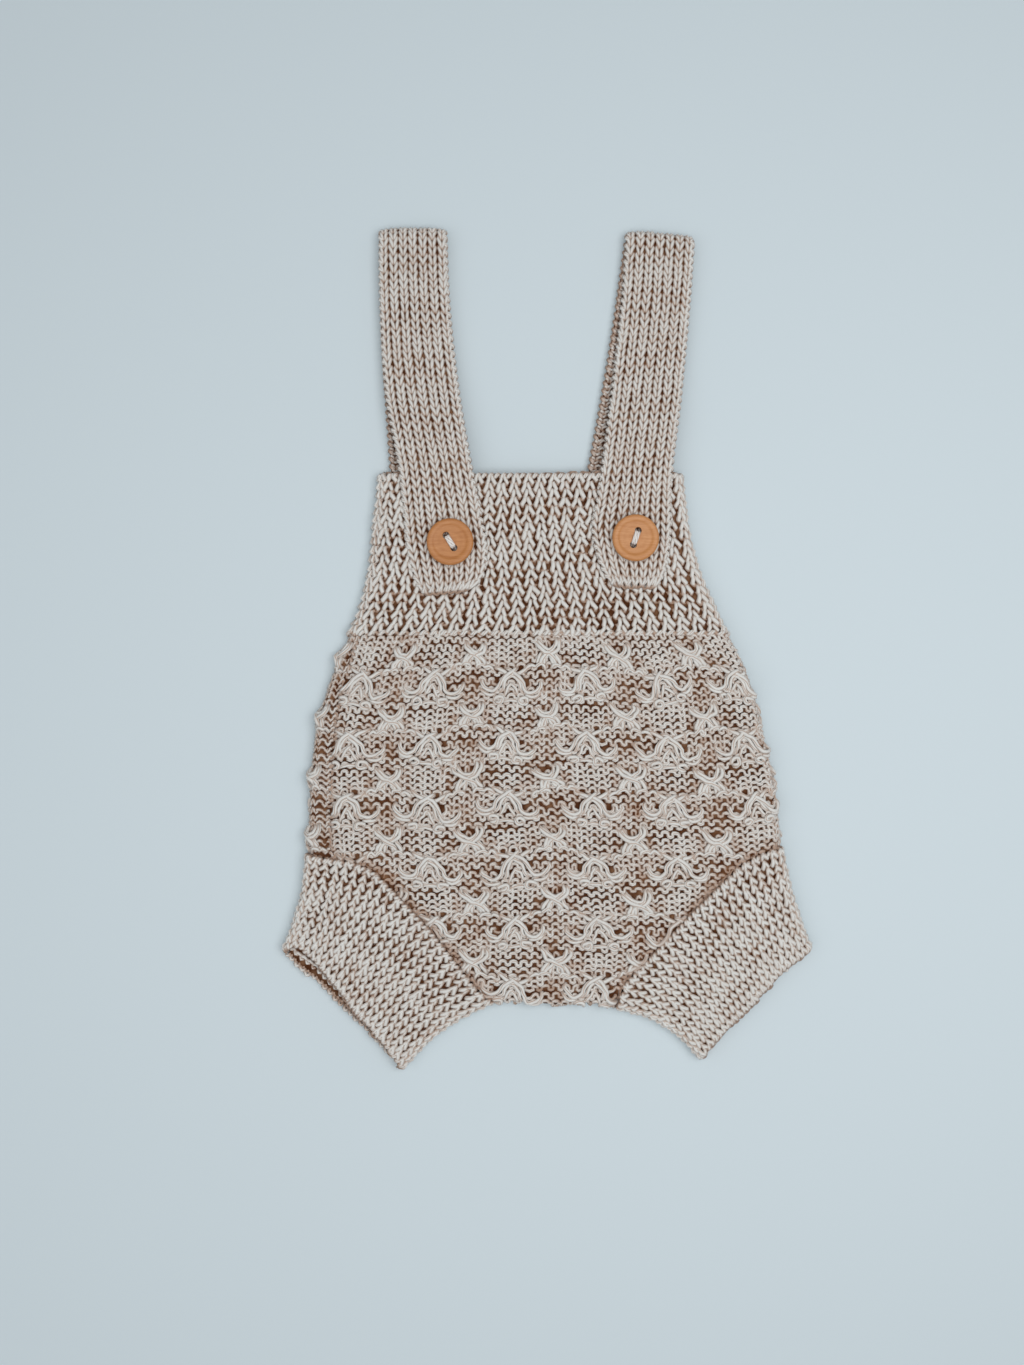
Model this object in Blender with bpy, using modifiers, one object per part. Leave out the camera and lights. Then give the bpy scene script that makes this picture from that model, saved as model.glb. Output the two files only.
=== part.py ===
"""Knit baby overalls laid flat on their back.

A rib bib, a patterned body, two ribbed leg cuffs, and two straps that are folded over at the
shoulder and buttoned down on the bib. Metres, +Z up. The cloth rests on z = 0 and the front faces
up; "left" is -X. The tables are in millimetres: "across" is along X and "up" is along Y.
"""

import math
from typing import NamedTuple

import bmesh
import bpy
import numpy as np
from mathutils import Matrix

MM = 0.001

CLOTH = 2.4 * MM           # thickness of the knitted cloth
GAP = 0.3 * MM             # between pieces that meet
BAND_TOP = 68.0 * MM       # top of the bib, up from the middle
BAND_SEAM = 6.5 * MM       # where the bib meets the body
BAND_GAP = 0.7 * MM        # gap there, where the widening edge leans the two rims
UNDER_SEAM = 10.0 * MM     # right side seam, in from the right edge, on the underside

SEAM_DEPTH = 1.4 * MM      # how far the left side seam sinks below the front cloth
SEAM_WIDTH = 4.0 * MM      # half width of that valley
EDGE_DROP = 0.6 * MM       # how much lower the rolled edge outside the seam lies
ROLL_STEPS = 5             # facets round a folded edge
CROTCH_RUN = 3.6 * MM      # length over which the crotch edge turns under
CROTCH_LIP = 0.8 * MM      # upright end of that turn
CROTCH_STEPS = 3
CORNER_TURN = 0.55         # share of the turn at the crotch's two corners
CORNER_RUN = 9.0 * MM      # from a corner to the full turn
CUFF_GAP = 0.65 * MM       # gap at the leg seams, along the ribs, which leave them at a slant
CORNER_CLEAR = 1.5 * MM    # how far short of the corner a cuff's inner fold stays
BODY_ROWS = 11
BAND_ROWS = 7
BAND_COLUMNS = 12
CUFF_ROWS = 6
EDGE_ROUNDS = 8            # rounds in which a body column finds the lower edge
STATION_MARGIN = 2.0 * MM  # least distance between two columns of the cloth

STRAP_FOLD = 7.0 * MM      # height of the folded strap at the shoulder
STRAP_LIFT_START = 119.0 * MM
STRAP_LIFT_END = 73.0 * MM  # from here down a strap lies on the bib
STRAP_BACK_ROWS = 7
STRAP_FRONT_ROWS = 16
STRAP_STATIONS = (-0.5, -0.25, 0.0, 0.25, 0.5)

BUTTON_RADIUS = 9.0 * MM
BUTTON_THICKNESS = 3.0 * MM
BUTTON_EDGE = 0.8 * MM     # rounding of the button's rim
BUTTON_DISH = 0.4 * MM     # how far the button's middle is turned down
BUTTON_DISH_RADIUS = 7.2 * MM
BUTTON_FLAT_RADIUS = 5.8 * MM
HOLE_RADIUS = 1.15 * MM
HOLE_SPACING = 5.4 * MM
THREAD_RADIUS = 0.75 * MM
THREAD_BEND = 0.8 * MM     # size of the bends where the thread enters the holes
EYELET_LENGTH = 8.6 * MM   # buttonhole, stretched open
EYELET_WIDTH = 3.4 * MM
ROUND_STEPS = 32
HOLE_STEPS = 16


class Row(NamedTuple):
    """One section across the bib or body."""

    up: float
    left: float
    seam: float    # left side seam, on the upper side, or None where there is none
    right: float
    top: float     # height of the front cloth


class Place(NamedTuple):
    """One point of an outline."""

    across: float
    up: float


class StrapRow(NamedTuple):
    """One section across a strap."""

    up: float
    centre: float
    width: float
    tilt: float    # rise to the right, as a slope


class Strap(NamedTuple):
    """A strap from its root at the back, over the fold, to its buttoned end."""

    back: list
    front: list


class Cuff(NamedTuple):
    """A leg cuff: its hem on the upper and lower side, and how far its two edges draw in."""

    hem: list
    under_hem: list
    left_draw: tuple
    right_draw: tuple
    has_valley: bool
    crotch_at_left: bool


SIDES = [
    Row(up=68.0, left=-67.3, seam=-63.0, right=53.5, top=7.0),
    Row(up=49.3, left=-69.3, seam=-64.6, right=55.8, top=7.1),
    Row(up=30.5, left=-71.4, seam=-66.6, right=60.4, top=7.2),
    Row(up=17.9, left=-74.4, seam=-69.7, right=65.9, top=7.3),
    Row(up=6.4, left=-79.0, seam=-74.1, right=71.2, top=7.6),
    Row(up=-2.2, left=-82.4, seam=-77.2, right=75.5, top=7.8),
    Row(up=-11.6, left=-86.4, seam=-80.0, right=79.6, top=8.0),
    Row(up=-30.3, left=-91.6, seam=-83.2, right=84.4, top=8.2),
    Row(up=-53.1, left=-94.0, seam=-84.7, right=89.6, top=8.2),
    Row(up=-83.1, left=-94.8, seam=-84.6, right=92.0, top=8.0),
]

CROTCH_TOP = 7.2           # height of the cloth at the crotch and along the cuffs, mm
CROTCH_UP = -138.0

LEFT_LEG = [
    Place(-95.0, -79.1),
    Place(-84.6, -81.4),
    Place(-76.1, -82.2),
    Place(-67.9, -85.3),
    Place(-56.2, -97.0),
    Place(-44.5, -109.5),
    Place(-33.4, -124.1),
    Place(-26.8, -132.5),
    Place(-20.6, -138.0),
]
CROTCH = [
    Place(-16.6, -137.8),
    Place(-11.0, -138.1),
    Place(4.3, -139.5),
    Place(15.2, -138.7),
    Place(21.6, -139.4),
]
RIGHT_LEG = [
    Place(26.6, -140.1),
    Place(30.4, -129.0),
    Place(40.6, -118.4),
    Place(56.5, -101.3),
    Place(74.9, -83.7),
    Place(83.1, -78.9),
    Place(92.2, -76.3),
]
LOWER_EDGE = LEFT_LEG + CROTCH + RIGHT_LEG

LEFT_CUFF = Cuff(
    hem=[
        Place(-103.8, -115.7),
        Place(-95.6, -114.5),
        Place(-89.3, -122.0),
        Place(-81.1, -131.3),
        Place(-73.3, -141.4),
        Place(-66.3, -149.6),
        Place(-55.8, -163.7),
    ],
    under_hem=[
        Place(-103.8, -115.7),
        Place(-97.5, -123.1),
        Place(-87.0, -131.7),
        Place(-78.0, -140.3),
        Place(-69.8, -147.3),
        Place(-55.8, -163.7),
    ],
    left_draw=(2.0, 0.0),
    right_draw=(-1.7, 2.5),
    has_valley=True,
    crotch_at_left=False,
)
RIGHT_CUFF = Cuff(
    hem=[
        Place(58.9, -159.4),
        Place(71.8, -145.0),
        Place(83.1, -133.3),
        Place(92.0, -124.3),
        Place(103.5, -115.7),
    ],
    under_hem=[
        Place(58.9, -159.4),
        Place(71.8, -145.0),
        Place(83.1, -133.3),
        Place(92.0, -124.3),
        Place(103.5, -115.7),
    ],
    left_draw=(1.8, 3.2),
    right_draw=(-1.2, 0.0),
    has_valley=False,
    crotch_at_left=True,
)

LEFT_STRAP = Strap(
    back=[
        StrapRow(up=68.3, centre=-48.0, width=26.4, tilt=0.0),
        StrapRow(up=85.9, centre=-49.2, width=26.4, tilt=0.0),
        StrapRow(up=110.5, centre=-50.9, width=26.2, tilt=0.0),
        StrapRow(up=163.8, centre=-52.4, width=26.2, tilt=0.0),
    ],
    front=[
        StrapRow(up=163.8, centre=-52.4, width=26.2, tilt=0.0),
        StrapRow(up=136.6, centre=-51.7, width=27.1, tilt=0.0),
        StrapRow(up=100.4, centre=-48.6, width=28.7, tilt=0.0),
        StrapRow(up=69.5, centre=-43.2, width=28.5, tilt=0.0),
        StrapRow(up=50.8, centre=-40.4, width=30.4, tilt=0.0),
        StrapRow(up=41.1, centre=-39.1, width=31.2, tilt=0.0),
        StrapRow(up=32.4, centre=-38.3, width=29.0, tilt=0.04),
        StrapRow(up=26.4, centre=-38.1, width=25.6, tilt=0.08),
        StrapRow(up=22.9, centre=-38.6, width=20.4, tilt=0.10),
    ],
)
RIGHT_STRAP = Strap(
    back=[
        StrapRow(up=68.3, centre=28.7, width=26.4, tilt=0.0),
        StrapRow(up=82.0, centre=31.3, width=26.4, tilt=0.0),
        StrapRow(up=117.1, centre=37.5, width=26.4, tilt=-0.05),
        StrapRow(up=161.8, centre=44.1, width=26.6, tilt=-0.09),
    ],
    front=[
        StrapRow(up=161.8, centre=44.1, width=26.6, tilt=-0.09),
        StrapRow(up=136.6, centre=42.4, width=26.6, tilt=-0.05),
        StrapRow(up=97.6, centre=38.3, width=27.4, tilt=0.0),
        StrapRow(up=69.5, centre=34.7, width=27.7, tilt=0.0),
        StrapRow(up=58.6, centre=33.6, width=28.8, tilt=0.0),
        StrapRow(up=46.9, centre=32.6, width=30.8, tilt=0.0),
        StrapRow(up=37.9, centre=33.0, width=28.4, tilt=0.0),
        StrapRow(up=29.4, centre=33.6, width=23.4, tilt=0.0),
        StrapRow(up=25.3, centre=33.8, width=19.0, tilt=0.0),
    ],
)


class ButtonPlace(NamedTuple):
    """Where a button sits, and which way its two holes lie, from +X, in degrees."""

    across: float
    up: float
    turn: float


LEFT_BUTTON = ButtonPlace(across=-37.5, up=41.5, turn=122)
RIGHT_BUTTON = ButtonPlace(across=33.8, up=43.0, turn=71)

YARN_COLOUR = (0.56, 0.48, 0.41, 1.0)
WOOD_COLOUR = (0.62, 0.34, 0.15, 1.0)
THREAD_COLOUR = (0.78, 0.74, 0.68, 1.0)


def clear_scene():
    """Remove every object that the file starts with."""
    for item in list(bpy.data.objects):
        bpy.data.objects.remove(item)


def new_collection(name):
    """Add a collection to the scene."""
    collection = bpy.data.collections.new(name)
    bpy.context.scene.collection.children.link(collection)
    return collection


def finish(name, colour, roughness):
    """Make a plain Principled material."""
    material = bpy.data.materials.new(name)
    material.use_nodes = True
    shader = material.node_tree.nodes["Principled BSDF"]
    shader.inputs["Base Color"].default_value = colour
    shader.inputs["Roughness"].default_value = roughness
    shader.inputs["Metallic"].default_value = 0.0
    return material


def lerp(start, end, share):
    """A point between two numbers."""
    return start + (end - start) * share


def read_table(rows, column, up):
    """One column of a table at any height, on a smooth curve through its rows."""
    ordered = sorted(rows, key=lambda row: row.up)
    ups = np.array([row.up for row in ordered])
    values = np.array([getattr(row, column) for row in ordered])
    slopes = np.gradient(values, ups)
    up = min(max(up, ups[0]), ups[-1])
    low = min(max(int(np.searchsorted(ups, up)) - 1, 0), len(ups) - 2)
    step = ups[low + 1] - ups[low]
    t = (up - ups[low]) / step
    start = values[low] * (2 * t ** 3 - 3 * t ** 2 + 1) + slopes[low] * step * (t ** 3 - 2 * t ** 2 + t)
    end = values[low + 1] * (3 * t ** 2 - 2 * t ** 3) + slopes[low + 1] * step * (t ** 3 - t ** 2)
    return float(start + end)


def front_height(up):
    """Height of the front cloth's upper side, at a distance up in metres."""
    up = up / MM
    lowest = SIDES[-1]
    if up > lowest.up:
        return read_table(SIDES, "top", up) * MM
    share = min((lowest.up - up) / (lowest.up - CROTCH_UP), 1.0)
    return lerp(lowest.top, CROTCH_TOP, share) * MM


def section(up):
    """The section across the bib or body at a distance up, all in metres."""
    read = {name: read_table(SIDES, name, up / MM) * MM for name in ("left", "seam", "right")}
    return Row(up=up, top=front_height(up), **read)


def upper_side(row, across):
    """Height of the upper side of the cloth, which sinks into a valley along the left seam."""
    if row.seam is None:
        return row.top
    off = across - row.seam
    level = row.top - (EDGE_DROP if off < 0 else 0.0)
    floor = row.top - SEAM_DEPTH
    return level - (level - floor) * math.exp(-((off / SEAM_WIDTH) ** 2))


def fold(centre, height, start):
    """Points round a folded edge, after its first: start 0 turns down at the right, pi up at the left."""
    points = []
    for step in range(1, ROLL_STEPS + 1):
        angle = start + math.pi * step / ROLL_STEPS
        points.append((centre + height / 2 * math.sin(angle), height / 2 * (1 + math.cos(angle))))
    return points


def front_outline(row, stations):
    """Across and height of the front cloth: from the left seam, round the right edge, to underneath."""
    start = row.seam + GAP / 2
    end = row.right - row.top / 2
    points = [(lerp(start, end, share), upper_side(row, lerp(start, end, share))) for share in stations]
    points += fold(end, points[-1][1], 0.0)
    seam = row.right - UNDER_SEAM + GAP / 2
    points += [(lerp(end, seam, share), 0.0) for share in (0.5, 1.0)]
    return points


def back_outline(row, stations):
    """Across and height of the back cloth: from the right seam, underneath, round the left edge."""
    start = row.right - UNDER_SEAM - GAP / 2
    end = row.left + row.top / 2
    points = [(lerp(start, end, share), 0.0) for share in stations]
    edge_height = upper_side(row, end)
    points += fold(end, edge_height, math.pi)
    seam = row.seam - GAP / 2
    for share in (0.5, 1.0):
        across = lerp(end, seam, share)
        points.append((across, upper_side(row, across)))
    return points


def shell(name, grid, material, collection, closed=False):
    """A wall of cloth, from the points of its outer side: a row of the grid runs across the piece."""
    bm = bmesh.new()
    vertices = [[bm.verts.new(point) for point in line] for line in grid]
    count = len(grid[0])
    for upper, lower in zip(vertices, vertices[1:]):
        for column in range(count if closed else count - 1):
            following = (column + 1) % count
            bm.faces.new((upper[column], lower[column], lower[following], upper[following]))
    mesh = bpy.data.meshes.new(name)
    bm.to_mesh(mesh)
    bm.free()
    mesh.materials.append(material)
    item = bpy.data.objects.new(name, mesh)
    collection.objects.link(item)
    wall = item.modifiers.new("wall", "SOLIDIFY")
    wall.thickness = CLOTH
    wall.offset = -1.0
    wall.use_even_offset = True
    return item


def band(name, outline, material, collection):
    """One half of the rib bib."""
    stations = [step / BAND_COLUMNS for step in range(BAND_COLUMNS + 1)]
    lowest = BAND_SEAM + BAND_GAP / 2
    grid = []
    for step in range(BAND_ROWS + 1):
        up = lerp(BAND_TOP, lowest, step / BAND_ROWS)
        grid.append([(across, up, height) for across, height in outline(section(up), stations)])
    return shell(name, grid, material, collection)


def lower_edge(across):
    """How far up the lower edge of the body lies: a leg opening or the crotch."""
    places = [place.across for place in LOWER_EDGE]
    return float(np.interp(across / MM, places, [place.up for place in LOWER_EDGE])) * MM


def edge_stations(start, end):
    """Shares of the way from start to end, one at each corner of the lower edge between them."""
    low, high = sorted((start, end))
    corners = [place.across * MM for place in LOWER_EDGE]
    inner = [across for across in corners if low + STATION_MARGIN < across < high - STATION_MARGIN]
    inner.sort(reverse=start > end)
    return [0.0] + [(across - start) / (end - start) for across in inner] + [1.0]


def turn_share(across):
    """How much of the crotch's turn a column takes: none along a leg, all away from the corners."""
    inside = min(across - LEFT_LEG[-1].across * MM, RIGHT_LEG[0].across * MM - across)
    if inside < -GAP:
        return 0.0
    return 1.0 - (1.0 - CORNER_TURN) * (1.0 - min(inside / CORNER_RUN, 1.0)) ** 2


def crotch_turn(step, row, facing_up):
    """How far out, and how high, the crotch edge lies at a step of its turn under or up."""
    flat = row.top if facing_up else 0.0
    side = 1 if facing_up else -1
    if step > CROTCH_STEPS:
        return 1.0, row.top / 2 + side * GAP / 2
    angle = math.pi / 2 * step / CROTCH_STEPS
    end = row.top / 2 + side * CROTCH_LIP
    return math.sin(angle), lerp(end, flat, math.cos(angle))


def body(name, outline, facing_up, material, collection):
    """One half of the patterned body, down to the leg openings and round the crotch edge."""
    corner = section(SIDES[-1].up * MM)
    if facing_up:
        stations = edge_stations(corner.seam + GAP / 2, corner.right - corner.top / 2)
    else:
        stations = edge_stations(corner.right - UNDER_SEAM - GAP / 2, corner.left + corner.top / 2)
    highest = BAND_SEAM - BAND_GAP / 2
    columns = []
    for number, (across, _) in enumerate(outline(corner, stations)):
        low = corner.up
        for _ in range(EDGE_ROUNDS):
            low = lower_edge(outline(section(low), stations)[number][0])
        turned = turn_share(across)
        column = []
        for step in range(BODY_ROWS + 1):
            up = lerp(highest, low + CROTCH_RUN, step / BODY_ROWS)
            across, height = outline(section(up), stations)[number]
            column.append((across, up, height))
        for step in range(1, CROTCH_STEPS + 2):
            out = step / (CROTCH_STEPS + 1)
            row = section(lerp(low + CROTCH_RUN, low, out))
            across, height = outline(row, stations)[number]
            if turned:
                out, turned_height = crotch_turn(step, row, facing_up)
                height = lerp(height, turned_height, turned)
            column.append((across, lerp(low + CROTCH_RUN, low, out), height))
        columns.append(column)
    grid = [list(line) for line in zip(*columns)]
    return shell(name, grid, material, collection)


def at_share(places, share):
    """The point at a share of an outline's length, in metres."""
    points = np.array([(place.across, place.up) for place in places]) * MM
    lengths = np.concatenate([[0.0], np.cumsum(np.linalg.norm(np.diff(points, axis=0), axis=1))])
    at = share * lengths[-1]
    return np.array([np.interp(at, lengths, points[:, 0]), np.interp(at, lengths, points[:, 1])])


def outline_length(places):
    """Length of an outline in metres."""
    return sum(math.dist(start, end) for start, end in zip(places, places[1:])) * MM


def leg_cuff(name, leg, cuff, material, collection):
    """A ribbed leg cuff: a flattened tube from the leg opening to its hem, open at both ends."""
    seam_in = (SIDES[-1].seam - SIDES[-1].left) * MM
    corners = [outline_length(leg[:count]) / outline_length(leg) for count in range(2, len(leg))]
    if cuff.has_valley:
        corners = corners[1:]
    if not cuff.crotch_at_left:
        corners = corners[:-1]
    grid = []
    for step in range(CUFF_ROWS + 1):
        share_down = step / CUFF_ROWS
        width = lerp(outline_length(leg), outline_length(cuff.hem), share_down)
        middle_up = lerp(at_share(leg, 0.5), at_share(cuff.hem, 0.5), share_down)[1]
        row = Row(up=middle_up, left=0.0, seam=seam_in if cuff.has_valley else None, right=width,
                  top=front_height(middle_up))
        clear = CORNER_CLEAR * (1 - share_down)
        left_fold = row.top / 2 + (clear if cuff.crotch_at_left else 0.0)
        right_fold = width - row.top / 2 - (0.0 if cuff.crotch_at_left else clear)
        stops = [share * width for share in corners] + [right_fold]
        if cuff.has_valley:
            stops.insert(0, row.seam)
        upper = [(across, upper_side(row, across)) for across in stops]
        lower = [(across, 0.0) for across in reversed(stops[:-1])]
        left_height = upper_side(row, left_fold)
        loop = upper + fold(right_fold, row.top, 0.0) + lower
        loop += [(left_fold, 0.0)] + fold(left_fold, left_height, math.pi)
        if cuff.has_valley:
            between = lerp(left_fold, row.seam, 0.5)
            loop.append((between, upper_side(row, between)))
        line = []
        for across, height in loop:
            share = across / width
            raised = min(height / row.top, 1.0)
            hem = lerp(at_share(cuff.under_hem, share), at_share(cuff.hem, share), raised)
            start = at_share(leg, share)
            start = start + (hem - start) / np.linalg.norm(hem - start) * CUFF_GAP
            place = lerp(start, hem, share_down)
            draw = np.array(cuff.left_draw) * (1 - share) ** 2 + np.array(cuff.right_draw) * share ** 2
            place = place + draw * MM * math.sin(math.pi * share_down)
            level = front_height(place[1])
            line.append((place[0], place[1], height * level / row.top))
        grid.append(line)
    return shell(name, grid, material, collection, closed=True)


def strap_height(up):
    """Height of the upper side of a strap's front run, on the way down from the fold to the bib."""
    on_bib = front_height(up) + GAP + CLOTH
    share = min(max((STRAP_LIFT_START - up) / (STRAP_LIFT_START - STRAP_LIFT_END), 0.0), 1.0)
    return lerp(STRAP_FOLD, on_bib, share * share * (3 - 2 * share))


def strap_line(rows, up, height, reach=0.0):
    """Points across a strap at a distance up, moved up by its reach round the fold."""
    at = up / MM
    centre = read_table(rows, "centre", at) * MM
    width = read_table(rows, "width", at) * MM
    tilt = read_table(rows, "tilt", at)
    line = []
    for share in STRAP_STATIONS:
        offset = share * width
        line.append((centre + offset, up + reach + tilt * offset, height))
    return line


def strap_body(name, strap, material, collection):
    """A strap: the back run on the table, the fold at the shoulder, the front run down over the bib."""
    radius = STRAP_FOLD / 2
    root = strap.back[0].up * MM
    fold_up = strap.front[0].up * MM - radius
    end = strap.front[-1].up * MM
    grid = []
    for step in range(STRAP_BACK_ROWS + 1):
        grid.append(strap_line(strap.back, lerp(root, fold_up, step / STRAP_BACK_ROWS), 0.0))
    for step in range(1, ROLL_STEPS + 1):
        angle = math.pi * step / ROLL_STEPS
        height = radius * (1 - math.cos(angle))
        grid.append(strap_line(strap.front, fold_up, height, radius * math.sin(angle)))
    for step in range(1, STRAP_FRONT_ROWS + 1):
        up = lerp(fold_up, end, step / STRAP_FRONT_ROWS)
        grid.append(strap_line(strap.front, up, strap_height(up)))
    return shell(name, grid, material, collection)


def rod_mesh(radius_long, radius_short, depth, matrix):
    """A closed upright rod with an oval section."""
    bm = bmesh.new()
    bmesh.ops.create_cone(bm, cap_ends=True, segments=HOLE_STEPS, radius1=1.0, radius2=1.0, depth=depth)
    oval = matrix @ Matrix.Diagonal((radius_long, radius_short, 1.0, 1.0))
    bmesh.ops.transform(bm, matrix=oval, verts=bm.verts)
    mesh = bpy.data.meshes.new("rod")
    bm.to_mesh(mesh)
    bm.free()
    return mesh


def cut(item, mesh, name, cutters):
    """Cut a piece with a mesh that stays in the file as a guide."""
    cutter = bpy.data.objects.new(name, mesh)
    cutters.objects.link(cutter)
    cutter.hide_render = True
    cutter.display_type = "WIRE"
    boolean = item.modifiers.new(name, "BOOLEAN")
    boolean.operation = "DIFFERENCE"
    boolean.solver = "EXACT"
    boolean.object = cutter


def button_frame(place):
    """Where a button's underside lies, with its holes along the local X axis."""
    up = place.up * MM
    height = front_height(up) + 2 * GAP + CLOTH
    return Matrix.Translation((place.across * MM, up, height)) @ Matrix.Rotation(
        math.radians(place.turn), 4, "Z")


def button(name, place, material, collection, cutters):
    """A turned wooden button with a shallow dish and two holes."""
    top = BUTTON_THICKNESS
    inner = BUTTON_RADIUS - BUTTON_EDGE
    corner = BUTTON_EDGE * (1 - math.sqrt(0.5))
    profile = [
        (0.0, top - BUTTON_DISH),
        (BUTTON_FLAT_RADIUS, top - BUTTON_DISH),
        (BUTTON_DISH_RADIUS, top),
        (inner, top),
        (BUTTON_RADIUS - corner, top - corner),
        (BUTTON_RADIUS, top - BUTTON_EDGE),
        (BUTTON_RADIUS, BUTTON_EDGE),
        (BUTTON_RADIUS - corner, corner),
        (inner, 0.0),
        (0.0, 0.0),
    ]
    bm = bmesh.new()
    vertices = [bm.verts.new((across, 0.0, height)) for across, height in profile]
    for start, end in zip(vertices, vertices[1:]):
        bm.edges.new((start, end))
    mesh = bpy.data.meshes.new(name)
    bm.to_mesh(mesh)
    bm.free()
    mesh.materials.append(material)
    item = bpy.data.objects.new(name, mesh)
    collection.objects.link(item)
    frame = button_frame(place)
    item.matrix_world = frame
    turning = item.modifiers.new("turning", "SCREW")
    turning.steps = ROUND_STEPS
    turning.render_steps = ROUND_STEPS
    turning.use_merge_vertices = True
    turning.merge_threshold = 0.00001
    for side in (-1, 1):
        middle = Matrix.Translation((side * HOLE_SPACING / 2, 0.0, BUTTON_THICKNESS / 2))
        rod = rod_mesh(HOLE_RADIUS, HOLE_RADIUS, BUTTON_THICKNESS * 2, frame @ middle)
        cut(item, rod, f"{name}_hole_{side + 2}", cutters)
    return item


def button_thread(name, place, material, collection):
    """Yarn that comes up through the buttonhole and one hole, crosses, and goes down the other."""
    legs = HOLE_SPACING / 2
    bar = BUTTON_THICKNESS - BUTTON_DISH + GAP + THREAD_RADIUS
    bend = THREAD_BEND
    corner = bend * (1 - math.sqrt(0.5))
    foot = -(CLOTH + GAP)
    curve = bpy.data.curves.new(name, "CURVE")
    curve.dimensions = "3D"
    curve.bevel_depth = THREAD_RADIUS
    curve.bevel_resolution = 2
    curve.use_fill_caps = True
    side = [(legs, foot), (legs, bar - bend), (legs - corner, bar - corner), (legs - bend, bar)]
    route = side + [(-across, height) for across, height in reversed(side)]
    spline = curve.splines.new("POLY")
    spline.points.add(len(route) - 1)
    for point, (across, height) in zip(spline.points, route):
        point.co = (across, 0.0, height, 1.0)
    curve.materials.append(material)
    item = bpy.data.objects.new(name, curve)
    collection.objects.link(item)
    item.matrix_world = button_frame(place)
    return item


def eyelet(item, place, cutters):
    """Open the buttonhole in a strap, under its button."""
    matrix = button_frame(place) @ Matrix.Translation((0.0, 0.0, -CLOTH / 2))
    rod = rod_mesh(EYELET_LENGTH / 2, EYELET_WIDTH / 2, CLOTH * 2.5, matrix)
    cut(item, rod, f"{item.name}_eyelet", cutters)


def build():
    """Build the overalls."""
    clear_scene()
    overalls = new_collection("knit_overalls")
    cutters = new_collection("cutters")
    rib = finish("rib_knit", YARN_COLOUR, 0.9)
    pattern = finish("pattern_knit", YARN_COLOUR, 0.9)
    stocking = finish("stocking_knit", YARN_COLOUR, 0.9)
    wood = finish("button_wood", WOOD_COLOUR, 0.45)
    thread = finish("sewing_yarn", THREAD_COLOUR, 0.85)

    band("front_band", front_outline, rib, overalls)
    band("back_band", back_outline, rib, overalls)
    body("front_panel", front_outline, True, pattern, overalls)
    body("back_panel", back_outline, False, pattern, overalls)
    leg_cuff("leg_cuff_left", LEFT_LEG, LEFT_CUFF, rib, overalls)
    leg_cuff("leg_cuff_right", RIGHT_LEG, RIGHT_CUFF, rib, overalls)
    for side, strap, place in (("left", LEFT_STRAP, LEFT_BUTTON), ("right", RIGHT_STRAP, RIGHT_BUTTON)):
        item = strap_body(f"strap_{side}", strap, stocking, overalls)
        eyelet(item, place, cutters)
        button(f"button_{side}", place, wood, overalls, cutters)
        button_thread(f"button_thread_{side}", place, thread, overalls)


build()
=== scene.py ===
"""Knit baby overalls laid flat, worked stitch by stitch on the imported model.

Every knitted piece is a thin cloth with real yarn on it: each course is a length of yarn whose
loops are laid along the cloth's own wales. Metres, +Z up, the front faces up. The tables repeat
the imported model's sizes in millimetres: "across" is along X and "up" is along Y.
"""

import logging
import math
from dataclasses import dataclass, field, replace
from enum import Enum
from typing import Callable, NamedTuple, Optional, Sequence, Union

import bmesh
import bpy
import numpy as np
from mathutils import Matrix, Vector


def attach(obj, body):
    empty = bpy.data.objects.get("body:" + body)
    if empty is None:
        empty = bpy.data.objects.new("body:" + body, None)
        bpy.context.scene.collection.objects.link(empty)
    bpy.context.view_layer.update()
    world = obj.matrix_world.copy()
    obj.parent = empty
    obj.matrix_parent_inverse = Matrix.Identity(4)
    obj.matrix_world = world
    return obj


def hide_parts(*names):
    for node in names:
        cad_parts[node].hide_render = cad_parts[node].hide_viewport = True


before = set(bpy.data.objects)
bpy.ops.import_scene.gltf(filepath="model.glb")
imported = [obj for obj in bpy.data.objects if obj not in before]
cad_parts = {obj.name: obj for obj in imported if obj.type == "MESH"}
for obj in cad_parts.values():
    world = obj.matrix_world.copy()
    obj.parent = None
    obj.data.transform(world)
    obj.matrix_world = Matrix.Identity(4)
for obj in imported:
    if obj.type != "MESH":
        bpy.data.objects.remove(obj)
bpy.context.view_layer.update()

log = logging.getLogger("overalls")

MM = 0.001
GAP = 0.3                   # between pieces that meet, mm
BAND_TOP = 68.0             # top of the bib, up from the middle, mm
BAND_SEAM = 6.5             # where the bib meets the body, mm
UNDER_SEAM = 10.0           # right side seam, in from the right edge on the underside, mm
SEAM_DEPTH = 1.4            # how far the left side seam sinks, mm
SEAM_WIDTH = 4.0            # half width of that valley, mm
EDGE_DROP = 0.6             # how much lower the rolled edge outside the seam lies, mm
CROTCH_RUN = 3.6            # length over which the crotch edge turns under, mm
CROTCH_TOP = 7.2            # height of the cloth at the crotch, mm
CROTCH_UP = -138.0          # how far up the crotch lies, mm
BODY_END = -141.0           # below the lowest point of the body, mm
STRAP_FOLD = 7.0            # height of the folded strap at the shoulder, mm
FOLD_REACH = 1.6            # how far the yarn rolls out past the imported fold, mm
STRAP_LIFT_START = 119.0    # how far up a strap begins to rise towards the bib's level, mm
STRAP_LIFT_END = 73.0       # from here down it lies on the bib, mm
CLOTH = 2.4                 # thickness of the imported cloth, mm

YARN_LEVEL = -1.45          # middle of the yarn below the cloth's upper side, mm
GROUND_LEVEL = -1.75        # upper side of the ground cloth, mm
GROUND_THICKNESS = 0.35     # mm

Amount = Union[float, np.ndarray]


class Row(NamedTuple):
    """One section across the bib or body, in mm."""

    up: float
    left: float
    seam: float
    right: float
    top: float


class Place(NamedTuple):
    """One point of an outline, in mm."""

    across: float
    up: float


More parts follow.
